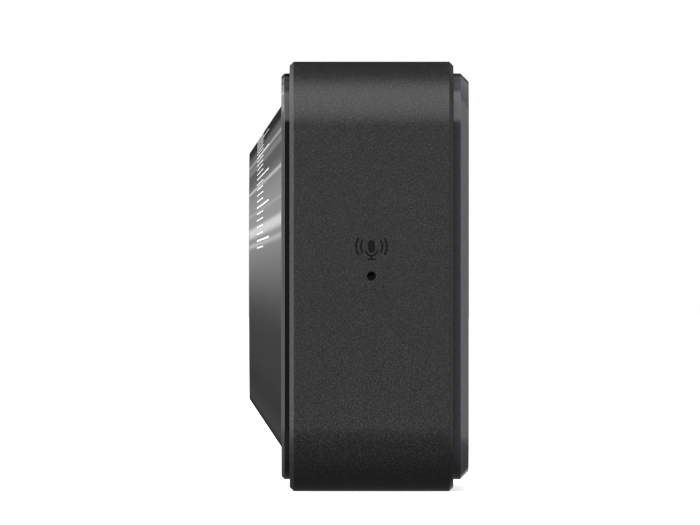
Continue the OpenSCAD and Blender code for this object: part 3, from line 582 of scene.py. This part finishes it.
def make_band():
    """The one-piece ring, with its ledge, hinge lugs and every opening through it."""
    frame_low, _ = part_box("rear_frame")
    door_low, door_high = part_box("battery_door")
    side_low, side_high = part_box("io_door")
    shutter_low, shutter_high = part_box("shutter_button")
    socket_low, socket_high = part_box("tripod_insert")
    latch_low, latch_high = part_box("battery_latch")
    hinges = (("x", "battery_door_pin", "battery_door"), ("z", "io_door_pin", "io_door"))

    band = face_ring("band", 0, BAND_WALL, band_low.y, band_high.y, BAND_BEVEL)
    ledge_y, ledge_depth, ledge_width = frame_low.y - 0.05 * MM, 0.75 * MM, 1.6 * MM
    ledge = face_ring("ledge", BAND_WALL - 0.2 * MM, ledge_width, ledge_y, ledge_y + ledge_depth)
    join(band, ledge, *[lug for hinge in hinges for lug in hinge_lugs(*hinge)])

    shutter = middle("shutter_button")
    shutter_r = (shutter_high.x - shutter_low.x) / 2 - 0.3 * MM
    socket_r = (socket_high.x - socket_low.x) / 2 + GAP
    top, base, left, right = band_high.z, band_low.z, band_low.x, band_high.x
    inner_top, inner_base = top - 3 * MM, base + 2.6 * MM
    door_r = 0.35 * MM
    battery_gap = soft_rect((door_low.x - GAP, door_low.y - GAP),
                            (door_high.x + GAP, door_high.y + GAP), door_r, 6)
    port_gap = soft_rect((side_low.y - GAP, side_low.z - GAP),
                         (side_high.y + GAP, side_high.z + GAP), door_r, 6)
    cut(band,
        opening("z", disc(shutter.x, shutter.y, shutter_r), top, inner_top, 0.12 * MM),
        opening("z", disc(lens_x, 0, socket_r), base, inner_base, 0.12 * MM),
        opening("z", battery_gap, base, inner_base, 0.06 * MM),
        opening("x", port_gap, left, left + 2.6 * MM, 0.06 * MM),
        opening("x", disc(mid_y, mid_z, MIC_HOLE_R, 40), right, right - 1.6 * MM, 0.07 * MM))
    speaker = middle("speaker_mesh")
    for k in (-1, 0, 1):
        hole = disc(mid_y + k * SPEAKER_PITCH, speaker.z, SPEAKER_HOLE_R, 40)
        cut(band, opening("x", hole, left, left + 1.6 * MM, 0.07 * MM))
    cut(band, *[hinge_bore(axis, pin) for axis, pin, _ in hinges])
    pocket = soft_rect((door_high.x - 0.3 * MM, latch_low.y - 0.15 * MM),
                       (door_high.x + 1.7 * MM, latch_high.y + 0.15 * MM), 0.1 * MM, 3)
    cut(band, stack("pocket", "z", pocket, [(latch_low.z + 0.2 * MM, 0), (base + 1.4 * MM, 0)]))

    mark_depth, ink_depth, ink_gap = 0.03 * MM, 0.04 * MM, 0.012 * MM
    for outline in microphone_mark():
        cut(band, extrude("x", outline(ink_gap), right - mark_depth, right + MM))
    show(band, "band", "housing", "grained_body", ["body_band"])
    for k, outline in enumerate(microphone_mark()):
        ink = extrude("x", outline(), right - ink_depth, right - ink_gap)
        show(ink, f"microphone_mark_{k}", "housing", "grained_body", material=print_dark)


def edge_finish(piece, bevel, side=None):
    """Gives the bevel round a slab its own material, and its sides another."""
    face_lean, bevel_lean = 0.96, 0.25
    piece.data.materials.append(bevel)
    piece.data.materials.append(side or piece.data.materials[0])
    for face in piece.data.polygons:
        lean = abs(face.normal.y)
        face.material_index = 0 if lean > face_lean else 1 if lean > bevel_lean else 2


def make_front_plate():
    """The gloss plate, with openings for the cone, the power button and the status light."""
    outline = face_outline(plate_low.x - band_low.x, 45)
    plate = stack("plate", "y", outline, slab_levels(plate_low.y, plate_high.y, PLATE_BEVEL))
    power_low, power_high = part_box("power_button")
    power = middle("power_button")
    power_r = (power_high.x - power_low.x) / 2 - 0.5 * MM
    recess_r, recess_depth = power_r + 0.65 * MM, 0.6 * MM
    light = middle("status_light")
    light_r = 0.65 * MM
    inside = plate_high.y + MM
    neck_r = cone_base_r - 1.3 * MM
    cut(plate,
        opening("y", disc(lens_x, lens_z, neck_r, 128), plate_low.y, inside, 0.05 * MM),
        opening("y", disc(power.x, power.z, power_r), plate_low.y, inside, 0.12 * MM),
        opening("y", disc(light.x, light.z, light_r, 40), plate_low.y, inside, 0.05 * MM),
        rod("y", power.x, power.z, recess_r, plate_low.y + recess_depth, inside, 0))
    show(plate, "gloss_front_plate", "housing", "gloss_plate", ["front_plate"], sharp=3)
    # The plate's rim carries a painted sheen
    edge_finish(plate, plate_rim_painted_sheen)


def make_rear_glass():
    """The black glass over the display, with a wide bevel."""
    outline = face_outline(glass_low.x - band_low.x)
    glass = stack("glass", "y", outline, slab_levels(glass_low.y, glass_high.y, 0, GLASS_BEVEL, FINER))
    show(glass, "bevelled_rear_glass", "housing", "rear_glass", ["rear_glass"])
    # The glass's rim and sides carry a painted sheen
    edge_finish(glass, glass_rim_painted_sheen, glass_side_painted_sheen)


# ---------------------------------------------------------------- lens

def make_cone():
    """The spun cone round the lens, black inside its mouth."""
    y_plate, y_nose, y_back = plate_low.y, cone_low.y, cone_high.y
    seat = cover_high.y + 0.03 * MM
    lip_r, lip_back = cover_r - 1.2 * MM, seat + 0.7 * MM
    wall_r, foot_r, foot = cone_base_r - 3.25 * MM, cone_base_r - 1.45 * MM, 0.95 * MM
    profile = [(cone_base_r, y_plate), (nose_r, y_nose), (cover_r, y_nose), (cover_r, seat),
               (lip_r, seat), (lip_r, lip_back), (wall_r, y_back - foot), (wall_r, y_back),
               (foot_r, y_back), (foot_r, y_plate)]
    cone = lathe("cone", "y", (lens_x, lens_z), profile, 256, 0.06 * MM)
    show(cone, "lens_cone", "housing", "spun_cone", ["lens_bezel"])
    cone.data.materials.append(materials["light_trap"])
    black_r, black_y = cover_r + 0.02 * MM, cone_low.y + 0.15 * MM
    for face in cone.data.polygons:
        across = math.hypot(face.center.x - lens_x, face.center.z - lens_z)
        if across < black_r and face.center.y > black_y:
            face.material_index = 1


def cone_point(angle, y, lift):
    """A point on the cone at an angle round the lens axis, lifted off its surface."""
    share = (y - cone_low.y) / (plate_low.y - cone_low.y)
    r = nose_r + (cone_base_r - nose_r) * share
    slope = math.atan2(cone_base_r - nose_r, plate_low.y - cone_low.y)
    r += lift * math.cos(slope)
    y -= lift * math.sin(slope)
    return Vector((lens_x + r * math.cos(angle), y, lens_z + r * math.sin(angle)))


def make_scale():
    """A printed scale of fine lines over the top half of the cone."""
    first, last, step, major = 12, 168, 3, 15      # degrees round the lens
    bottom, top = 0.002 * MM, 0.012 * MM
    start = cone_low.y + 0.8 * MM
    box_faces = ((0, 3, 2, 1), (4, 5, 6, 7), (0, 1, 5, 4), (1, 2, 6, 5), (2, 3, 7, 6), (3, 0, 4, 7))
    points, faces = [], []
    for degrees in range(first, last + 1, step):
        is_major = degrees % major == 0
        end = start + (1.15 if is_major else 0.6) * MM
        half = math.radians(0.36 if is_major else 0.27)
        angle = math.radians(degrees)
        base = len(points)
        for lift in (bottom, top):
            for side, y in ((-half, start), (half, start), (half, end), (-half, end)):
                points.append(cone_point(angle + side, y, lift))
        faces += [tuple(base + i for i in quad) for quad in box_faces]
    scale = new_object("scale", points, faces)
    show(scale, "cone_scale", "housing", "spun_cone", material=print_white)


def reflect_in_front(glass):
    """Leaves the coating on the faces that look forwards and makes the other faces clear."""
    forwards = -0.3
    glass.data.materials.append(inside_glass)
    for face in glass.data.polygons:
        if face.normal.y > forwards:
            face.material_index = 1


def make_lens():
    """The flat cover glass, the domed front element and the stepped barrel round it."""
    axis = (lens_x, lens_z)
    pane_r = cover_r - 0.05 * MM
    pane = [(0, cover_low.y), (pane_r, cover_low.y), (pane_r, cover_high.y), (0, cover_high.y)]
    glass = lathe("glass", "y", axis, pane, 128, 0.12 * MM)
    show(glass, "cover_window", "housing", "cover_glass", ["lens_cover_glass"])
    reflect_in_front(glass)

    low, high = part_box("lens_front_element")
    rim_r, dome_r, steps = (high.x - low.x) / 2, 8 * MM, 16
    dome = []
    for k in range(steps + 1):
        r = rim_r * k / steps
        dome.append((r, low.y + dome_r - math.sqrt(dome_r ** 2 - r ** 2)))
    back = [(rim_r, high.y), (0, high.y - 0.6 * MM)]
    element = lathe("element", "y", axis, dome + back, 96, FINEST)
    show(element, "front_lens", "housing", "lens_glass", ["lens_front_element"])
    reflect_in_front(element)

    low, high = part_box("lens_barrel")
    front_r, inner_r, funnel_r = (high.x - low.x) / 2, 4.4 * MM, 5.45 * MM
    ring = [(front_r - 0.5 * MM, low.y), (front_r, low.y + 0.4 * MM), (front_r, low.y + 2.3 * MM),
            (front_r - MM, low.y + 2.3 * MM), (front_r - MM, high.y), (inner_r, high.y),
            (inner_r, low.y + 1.95 * MM), (funnel_r, low.y + 1.95 * MM), (funnel_r, low.y + 0.6 * MM),
            (5.7 * MM, low.y)]
    barrel = lathe("barrel", "y", axis, ring, 128, 0.06 * MM)
    show(barrel, "lens_barrel_ring", "housing", "light_trap", ["lens_barrel"])


# ---------------------------------------------------------------- controls

def make_shutter_button():
    """A dished cap with a fine groove near its rim, on a flange and a stem."""
    low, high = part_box("shutter_button")
    centre = middle("shutter_button")
    flange_r, stem_r, top = (high.x - low.x) / 2, 1.7 * MM, high.z
    r = flange_r - 0.45 * MM
    flange, flange_top = low.z + 1.35 * MM, low.z + 1.35 * MM + 0.5 * MM
    bevel = 0.12 * MM
    dish_r, dish_rim, dish_depth, steps = r - 0.75 * MM, top - 0.02 * MM, 0.26 * MM, 8
    dish = []
    for k in range(steps + 1):
        share = 1 - k / steps
        dish.append((dish_r * share, dish_rim - dish_depth * (1 - share ** 2)))
    profile = [(0, low.z), (stem_r, low.z), (stem_r, flange), (flange_r, flange), (flange_r, flange_top),
               (r, flange_top), (r, top - bevel), (r - bevel, top), *dish]
    button = lathe("button", "z", (centre.x, centre.y), profile)
    inner, outer, bottom = r - 0.62 * MM, r - 0.5 * MM, top - 0.1 * MM
    line = [(inner, top + MM), (outer, top + MM), (outer, bottom), (inner, bottom)]
    cut(button, lathe("groove", "z", (centre.x, centre.y), line, fine=0))
    show(button, "shutter_cap", "shutter_key", "dark_button", ["shutter_button"])


def make_power_button():
    """A dished cap on a flange, with a power sign printed in its dish."""
    low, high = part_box("power_button")
    centre = middle("power_button")
    flange_r, front = (high.x - low.x) / 2, low.y
    r, flange, bevel = flange_r - 0.6 * MM, front + 0.8 * MM, 0.12 * MM
    dish_r, dish_depth, steps = r - 0.35 * MM, 0.14 * MM, 6
    dish = []
    for k in range(steps, -1, -1):
        share = 1 - k / steps
        dish.append((dish_r * share, front + dish_depth * (1 - share ** 2)))
    profile = [*dish, (r - bevel, front), (r, front + bevel), (r, flange), (flange_r, flange),
               (flange_r, high.y), (0, high.y)]
    button = lathe("button", "y", (centre.x, centre.z), profile, 96)
    show(button, "power_cap", "power_key", "dark_button", ["power_button"])
    line = 0.16 * MM
    bar_low = (centre.x - line / 2, centre.z + 0.25 * MM)
    bar_high = (centre.x + line / 2, centre.z + 1.25 * MM)
    marks = [arc_stroke(centre.x, centre.z, 0.95 * MM, line, 125, 415, 32),
             soft_rect(bar_low, bar_high, 0.05 * MM, 3)]
    for k, outline in enumerate(marks):
        mark = extrude("y", outline(), front + 0.09 * MM, front + 0.2 * MM)
        show(mark, f"power_mark_{k}", "power_key", "dark_button", material=print_white)


def make_status_light():
    """A small domed light pipe with a flange behind the plate."""
    low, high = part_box("status_light")
    centre = middle("status_light")
    r, flange_r, flange = 0.6 * MM, MM, high.y - 0.3 * MM
    profile = [(0, low.y), (0.4 * MM, low.y + 0.04 * MM), (r, low.y + 0.14 * MM), (r, flange),
               (flange_r, flange), (flange_r, high.y), (0, high.y)]
    light = lathe("light", "y", (centre.x, centre.z), profile, 48, FINER)
    show(light, "status_lens", "housing", "light_pipe", ["status_light"])


# ---------------------------------------------------------------- covers

def seal_groove(axis, plug, t0, t1):
    """A cutter for the groove round a door's plug, where its seal sits."""
    depth = 0.4 * MM
    return stack("groove", axis, plug, [(t0, MM), (t1, MM), (t1, -depth), (t0, -depth)], loop=True)


def make_battery_door():
    """The door in the base: leaf, knuckle, plug with its seal groove, and the latch's window."""
    low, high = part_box("battery_door")
    hinge = middle("battery_door_pin")
    latch_low, latch_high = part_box("battery_latch")
    leaf_top, lid_base = 1.15 * MM, MM      # heights above the base, which is at zero
    leaf = soft_rect((low.x, low.y), (high.x, hinge.y), DOOR_R, 8)
    door = stack("door", "z", leaf, slab_levels(low.z, leaf_top, 0.1 * MM, 0.05 * MM, FINER))
    knuckle = rod("x", hinge.y, hinge.z, KNUCKLE_R, low.x, high.x, 0.05 * MM)
    plug = soft_rect((low.x + 1.5 * MM, low.y + 1.1 * MM), (high.x - 1.1 * MM, hinge.y - 1.35 * MM), MM, 8)
    lid = stack("lid", "z", plug, slab_levels(lid_base, high.z, 0, 0.1 * MM, FINER))
    join(door, knuckle, lid)

    latch_front, latch_back = latch_low.y - GAP, latch_high.y + GAP
    window = soft_rect((high.x - 6.9 * MM, latch_front), (high.x - 1.1 * MM, latch_back), 0.2 * MM, 5)
    channel = soft_rect((high.x - 7.6 * MM, latch_front), (high.x + MM, latch_back), 0.05 * MM, 3)
    cut(door, seal_groove("z", plug, high.z - 0.75 * MM, high.z - 0.25 * MM),
        rod("x", hinge.y, hinge.z, KNUCKLE_BORE, low.x - MM, high.x + MM, 0),
        opening("z", window, low.z, 0.6 * MM, 0.06 * MM),
        stack("channel", "z", channel, [(0.45 * MM, 0), (0.95 * MM, 0)]))

    arrow_x, arrow_y = high.x - 9.4 * MM, (latch_low.y + latch_high.y) / 2
    tip, tail, half_width = 0.95 * MM, 0.55 * MM, 0.75 * MM

    def arrow(size):
        back = arrow_x - size * tail
        return [(arrow_x + size * tip, arrow_y), (back, arrow_y + size * half_width),
                (back, arrow_y - size * half_width)]

    cut(door, extrude("z", arrow(1), -MM, low.z + 0.08 * MM))
    show(door, "battery_cover_door", "battery_cover", "grained_body", ["battery_door"])
    ink = extrude("z", arrow(0.93), low.z + 0.02 * MM, low.z + 0.1 * MM)
    show(ink, "open_arrow", "battery_cover", "grained_body", material=print_white)


def make_latch():
    """The sliding plate, with a ribbed pad for the finger."""
    low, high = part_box("battery_latch")
    front, back = low.y + GAP, high.y - GAP
    outline = soft_rect((low.x, low.y), (high.x, high.y), 0.12 * MM, 4)
    plate = stack("plate", "z", outline, slab_levels(0.5 * MM, high.z, 0.05 * MM, 0.05 * MM, FINEST))
    pad_x0, pad_x1 = high.x - 6.85 * MM, high.x - 3.15 * MM
    outline = soft_rect((pad_x0, front), (pad_x1, back), 0.15 * MM, 4)
    pad = stack("pad", "z", outline, slab_levels(0.35 * MM, 0.6 * MM, 0.05 * MM, 0, FINEST))
    rib_pitch, rib_width = 0.8 * MM, 0.5 * MM
    ribs = []
    for k in range(5):
        x = pad_x0 + rib_pitch * k
        outline = soft_rect((x, front), (x + rib_width, back), 0.2 * MM, 6)
        ribs.append(stack("rib", "z", outline, slab_levels(low.z, 0.55 * MM, 0.08 * MM, 0, FINEST)))
    join(plate, pad, *ribs)
    show(plate, "ribbed_latch", "cover_latch", "dark_button", ["battery_latch"])


def make_port_door():
    """The door over the ports: leaf, knuckle, hollow plug with its seal groove, and a nail notch."""
    low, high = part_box("io_door")
    hinge = middle("io_door_pin")
    inner = low.x + 1.1 * MM
    leaf = soft_rect((hinge.y, low.z), (high.y, high.z), DOOR_R, 8)
    door = stack("door", "x", leaf, slab_levels(low.x, inner, 0.1 * MM, 0.05 * MM, FINER))
    knuckle = rod("z", hinge.x, hinge.y, KNUCKLE_R, low.z, high.z, 0.05 * MM)
    plug = soft_rect((hinge.y + 1.3 * MM, low.z + MM), (high.y - 1.4 * MM, high.z - MM), MM, 8)
    lid = stack("lid", "x", plug, slab_levels(inner - 0.1 * MM, high.x, 0, 0.1 * MM, FINER))
    join(door, knuckle, lid)
    wall = 0.9 * MM
    notch_r = 0.95 * MM
    cut(door, seal_groove("x", plug, inner + 0.2 * MM, inner + 0.7 * MM),
        stack("hollow", "x", plug, [(inner + 0.05 * MM, -wall), (inner + 2 * MM, -wall)]),
        rod("z", hinge.x, hinge.y, KNUCKLE_BORE, low.z - MM, high.z + MM, 0),
        rod("z", low.x - 0.4 * MM, high.y + GAP, notch_r, mid_z + MM, mid_z + 5 * MM, 0.15 * MM))
    show(door, "port_cover_door", "port_cover", "grained_body", ["io_door"])


# ---------------------------------------------------------------- tripod socket

def make_tripod_socket():
    """The threaded socket: rings run from the blind end down the thread, over the flange and up outside."""
    low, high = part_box("tripod_insert")
    pitch, crest_r, root_r = 1.27 * MM, 2.55 * MM, 3.12 * MM
    depth, tiny = 6 * MM, 0.02 * MM
    blind_end = low.z + depth
    flange_r, flange_top, body_r = (high.x - low.x) / 2, low.z + MM, 4.4 * MM
    around, per_pitch = 72, 14
    rings = []

    def ring(z, radius):
        angles = [2 * math.pi * k / around for k in range(around)]
        rings.append([(lens_x + radius(a) * math.cos(a), radius(a) * math.sin(a), z) for a in angles])

    def groove(z):
        def radius(a):
            phase = (z / pitch - a / (2 * math.pi)) % 1
            steepness, crest = 1.35, 0.12
            tooth = min(1, max(0, steepness * (1 - abs(2 * phase - 1)) - crest))
            fade = min(1, max(0, (blind_end - z) / (0.9 * MM)))
            thread_r = crest_r + (root_r - crest_r) * tooth * fade
            mouth_r = root_r + 0.1 * MM - (z - low.z)
            return max(thread_r, mouth_r)
        return radius

    ring(blind_end, lambda a: tiny)
    ring(blind_end, lambda a: crest_r - 0.1 * MM)
    steps = int(depth / pitch * per_pitch)
    run = depth - 0.05 * MM
    for k in range(steps + 1):
        z = low.z + run - run * k / steps
        ring(z, groove(z))
    outside = [(root_r + 0.3 * MM, low.z), (flange_r, low.z), (flange_r, flange_top), (body_r, flange_top),
               (body_r, high.z), (tiny, high.z)]
    for r, z in soften(outside, 0.1 * MM):
        ring(z, lambda a, r=r: r)
    show(skin("socket", rings), "threaded_socket", "housing", "socket_nickel", ["tripod_insert"])


# ---------------------------------------------------------------- stage, light and camera

def make_stage():
    """A plain pale floor that is lit evenly, with a soft shadow where the camera stands."""
    radius, around, gap, glow = 6.0, 96, 0.02 * MM, 0.62
    rim = disc(0, 0, radius, around)()
    floor = new_object("floor", [(x, y, band_low.z - gap) for x, y in rim], [tuple(range(around))])
    s = Surface("pale_floor")
    s.set(base_color=s.mix(s.noise(0.4, 2.0), (0.80, 0.80, 0.80), (0.84, 0.84, 0.84)), roughness=0.9)
    s.set(emission_color=(1, 1, 1, 1), emission_strength=glow)
    floor.data.materials.append(s.material)
    floor.visible_glossy = False
    floor.visible_diffuse = False


class Sky(Surface):
    """Studio softboxes as bright areas of the surroundings, set by direction."""

    def __init__(self):
        world = bpy.data.worlds.new("studio")
        bpy.context.scene.world = world
        world.use_nodes = True
        self.tree = world.node_tree
        self.tree.nodes.clear()
        parts = self.add("ShaderNodeSeparateXYZ")
        self.join(self.add("ShaderNodeTexCoord").outputs["Generated"], parts.inputs[0])
        self.x, self.y, self.z = parts.outputs
        degrees = 180 / math.pi
        self.height = self.math("MULTIPLY", self.math("ARCSINE", self.z), degrees)
        # Round the horizon from the front (-Y), positive towards -X and negative towards +X
        self.turn = self.math("MULTIPLY", self.math(
            "ARCTAN2", self.math("MULTIPLY", self.x, -1.0), self.math("MULTIPLY", self.y, -1.0)), degrees)
        # In the upright plane across the camera, from +X over the top to -X
        self.over = self.math("MULTIPLY", self.math("ARCTAN2", self.z, self.x), degrees)

    def rise(self, value, start, end):
        """Goes smoothly from nothing at start to one at end, whichever of them is the lower."""
        made = self.add("ShaderNodeMapRange", interpolation_type="SMOOTHSTEP")
        self.join(value, made.inputs["Value"])
        made.inputs["From Min"].default_value = min(start, end)
        made.inputs["From Max"].default_value = max(start, end)
        made.inputs["To Min"].default_value = 0.0 if start < end else 1.0
        made.inputs["To Max"].default_value = 1.0 if start < end else 0.0
        return made.outputs["Result"]

    def window(self, value, low, high, soft):
        """One between low and high and nothing outside, with soft ends."""
        opens = self.rise(value, low - soft, low + soft)
        closes = self.rise(value, high + soft, high - soft)
        return self.math("MULTIPLY", opens, closes)

    def box(self, strength, *limits):
        """A softbox within (direction, low, high, softness) limits."""
        share = strength
        for value, low, high, soft in limits:
            share = self.math("MULTIPLY", self.window(value, low, high, soft), share)
        return share

    def total(self, parts):
        """The sum of all the lights."""
        whole = parts[0]
        for part in parts[1:]:
            whole = self.math("ADD", whole, part)
        return whole


def make_light():
    """Softboxes that light the camera as in the photo, while plain white stands behind it."""
    sky = Sky()

    # Overhead, as bands from the photographed side over the top; sideways keeps them short
    sideways = sky.math("ABSOLUTE", sky.y)
    short, thin = (sideways, -1, 0.72, 0.12), (sideways, -1, 0.02, 0.008)
    key = sky.box(2.7, (sky.over, 12, 82, 6), short)
    glow = sky.box(0.45, (sky.over, 54, 82, 7), short)
    tube = sky.box(1.1, (sky.over, 84, 112, 6), thin)
    tube_end = sky.box(0.5, (sky.over, 112, 138, 6), thin)

    # In front, a wide light that brightens from the horizon up, with a dark gap straight ahead
    level = sky.math("ADD", sky.math("MULTIPLY", sky.rise(sky.height, -14, 13), 5.0), 0.30)
    wide = sky.math("MULTIPLY", level, sky.box(0.72, (sky.turn, -60, 42, 14), (sky.height, -60, 42, 14)))
    inner = sky.box(2.0, (sky.turn, -36, 13, 4), (sky.height, -5, 24, 6))
    gap = sky.math("SUBTRACT", 1.0, sky.box(0.82, (sky.turn, -5, 5, 3), (sky.height, -20, 60, 10)))
    front = sky.math("MULTIPLY", sky.math("ADD", wide, inner), gap)

    # Upright strips that draw the streaks on the cone: strength, start and end of their turn, softness,
    # lowest height and how softly they end
    strips = [sky.box(strength, (sky.turn, start, end, soft), (sky.height, lowest, 40, fade))
              for strength, start, end, soft, lowest, fade in (
                  (4.8, 25.1, 25.6, 0.3, 0, 3),
                  (5.6, 26.8, 28.9, 0.6, 0, 3),
                  (1.4, 32.6, 33.3, 0.3, 2, 3),
                  (3.2, 42.2, 43.7, 0.4, 2, 3),
                  (0.45, 50, 69, 4, 2, 6),
                  (0.8, 54.2, 58.0, 1.5, 2, 6),
                  (1.3, 59.8, 62.4, 1.0, 2, 6))]

    # Behind, on the far side and below
    behind = sky.math("ABSOLUTE", sky.turn)
    back = sky.box(1.3, (behind, 166, 190, 5), (sky.height, -15, 30, 6))
    rear_top = sky.box(0.5, (behind, 112, 158, 9), (sky.height, 14, 45, 8))
    fill = sky.box(1.2, (sky.turn, 92, 118, 6), (sky.height, -18, 4, 6))
    below = sky.math("MULTIPLY", sky.rise(sky.height, -4, -14), 0.13)

    # A faint light from everywhere, more of it from the photographed side
    toward = sky.math("MULTIPLY", sky.rise(sky.x, -0.2, 0.6), 0.16)
    ambient = sky.math("ADD", toward, 0.03)
    bright = sky.total([key, glow, tube, tube_end, front, *strips, back, rear_top, fill, ambient, below])

    lit = sky.add("ShaderNodeBackground")
    sky.join(bright, lit.inputs["Strength"])
    seen = sky.add("ShaderNodeBackground")
    seen.inputs["Strength"].default_value = 1.0
    seen.inputs["Color"].default_value = (1, 1, 1, 1)
    choice = sky.add("ShaderNodeMixShader")
    sky.join(sky.add("ShaderNodeLightPath").outputs["Is Camera Ray"], choice.inputs["Fac"])
    sky.join(lit.outputs[0], choice.inputs[1])
    sky.join(seen.outputs[0], choice.inputs[2])
    sky.join(choice.outputs[0], sky.add("ShaderNodeOutputWorld").inputs["Surface"])


def make_camera():
    """A long lens, level with the body, looking square at the side with the microphone."""
    view_width = 68.22 * MM
    aim_y, aim_z = mid_y - 2.1 * MM, mid_z + 1.36 * MM
    data = bpy.data.cameras.new("camera")
    data.lens = 1000
    data.sensor_width = 36
    distance = data.lens / data.sensor_width * view_width
    data.clip_start, data.clip_end = 0.05, 20
    camera = bpy.data.objects.new("camera", data)
    camera.location = (band_high.x + distance, aim_y, aim_z)
    camera.rotation_euler = (math.radians(90), 0, math.radians(90))
    bpy.context.scene.collection.objects.link(camera)
    bpy.context.scene.camera = camera


make_band()
make_front_plate()
make_rear_glass()
make_cone()
make_scale()
make_lens()
make_shutter_button()
make_power_button()
make_status_light()
make_battery_door()
make_latch()
make_port_door()
make_tripod_socket()
make_stage()
make_light()
make_camera()

bpy.context.scene.view_settings.view_transform = "Standard"
bpy.context.scene.view_settings.look = "None"
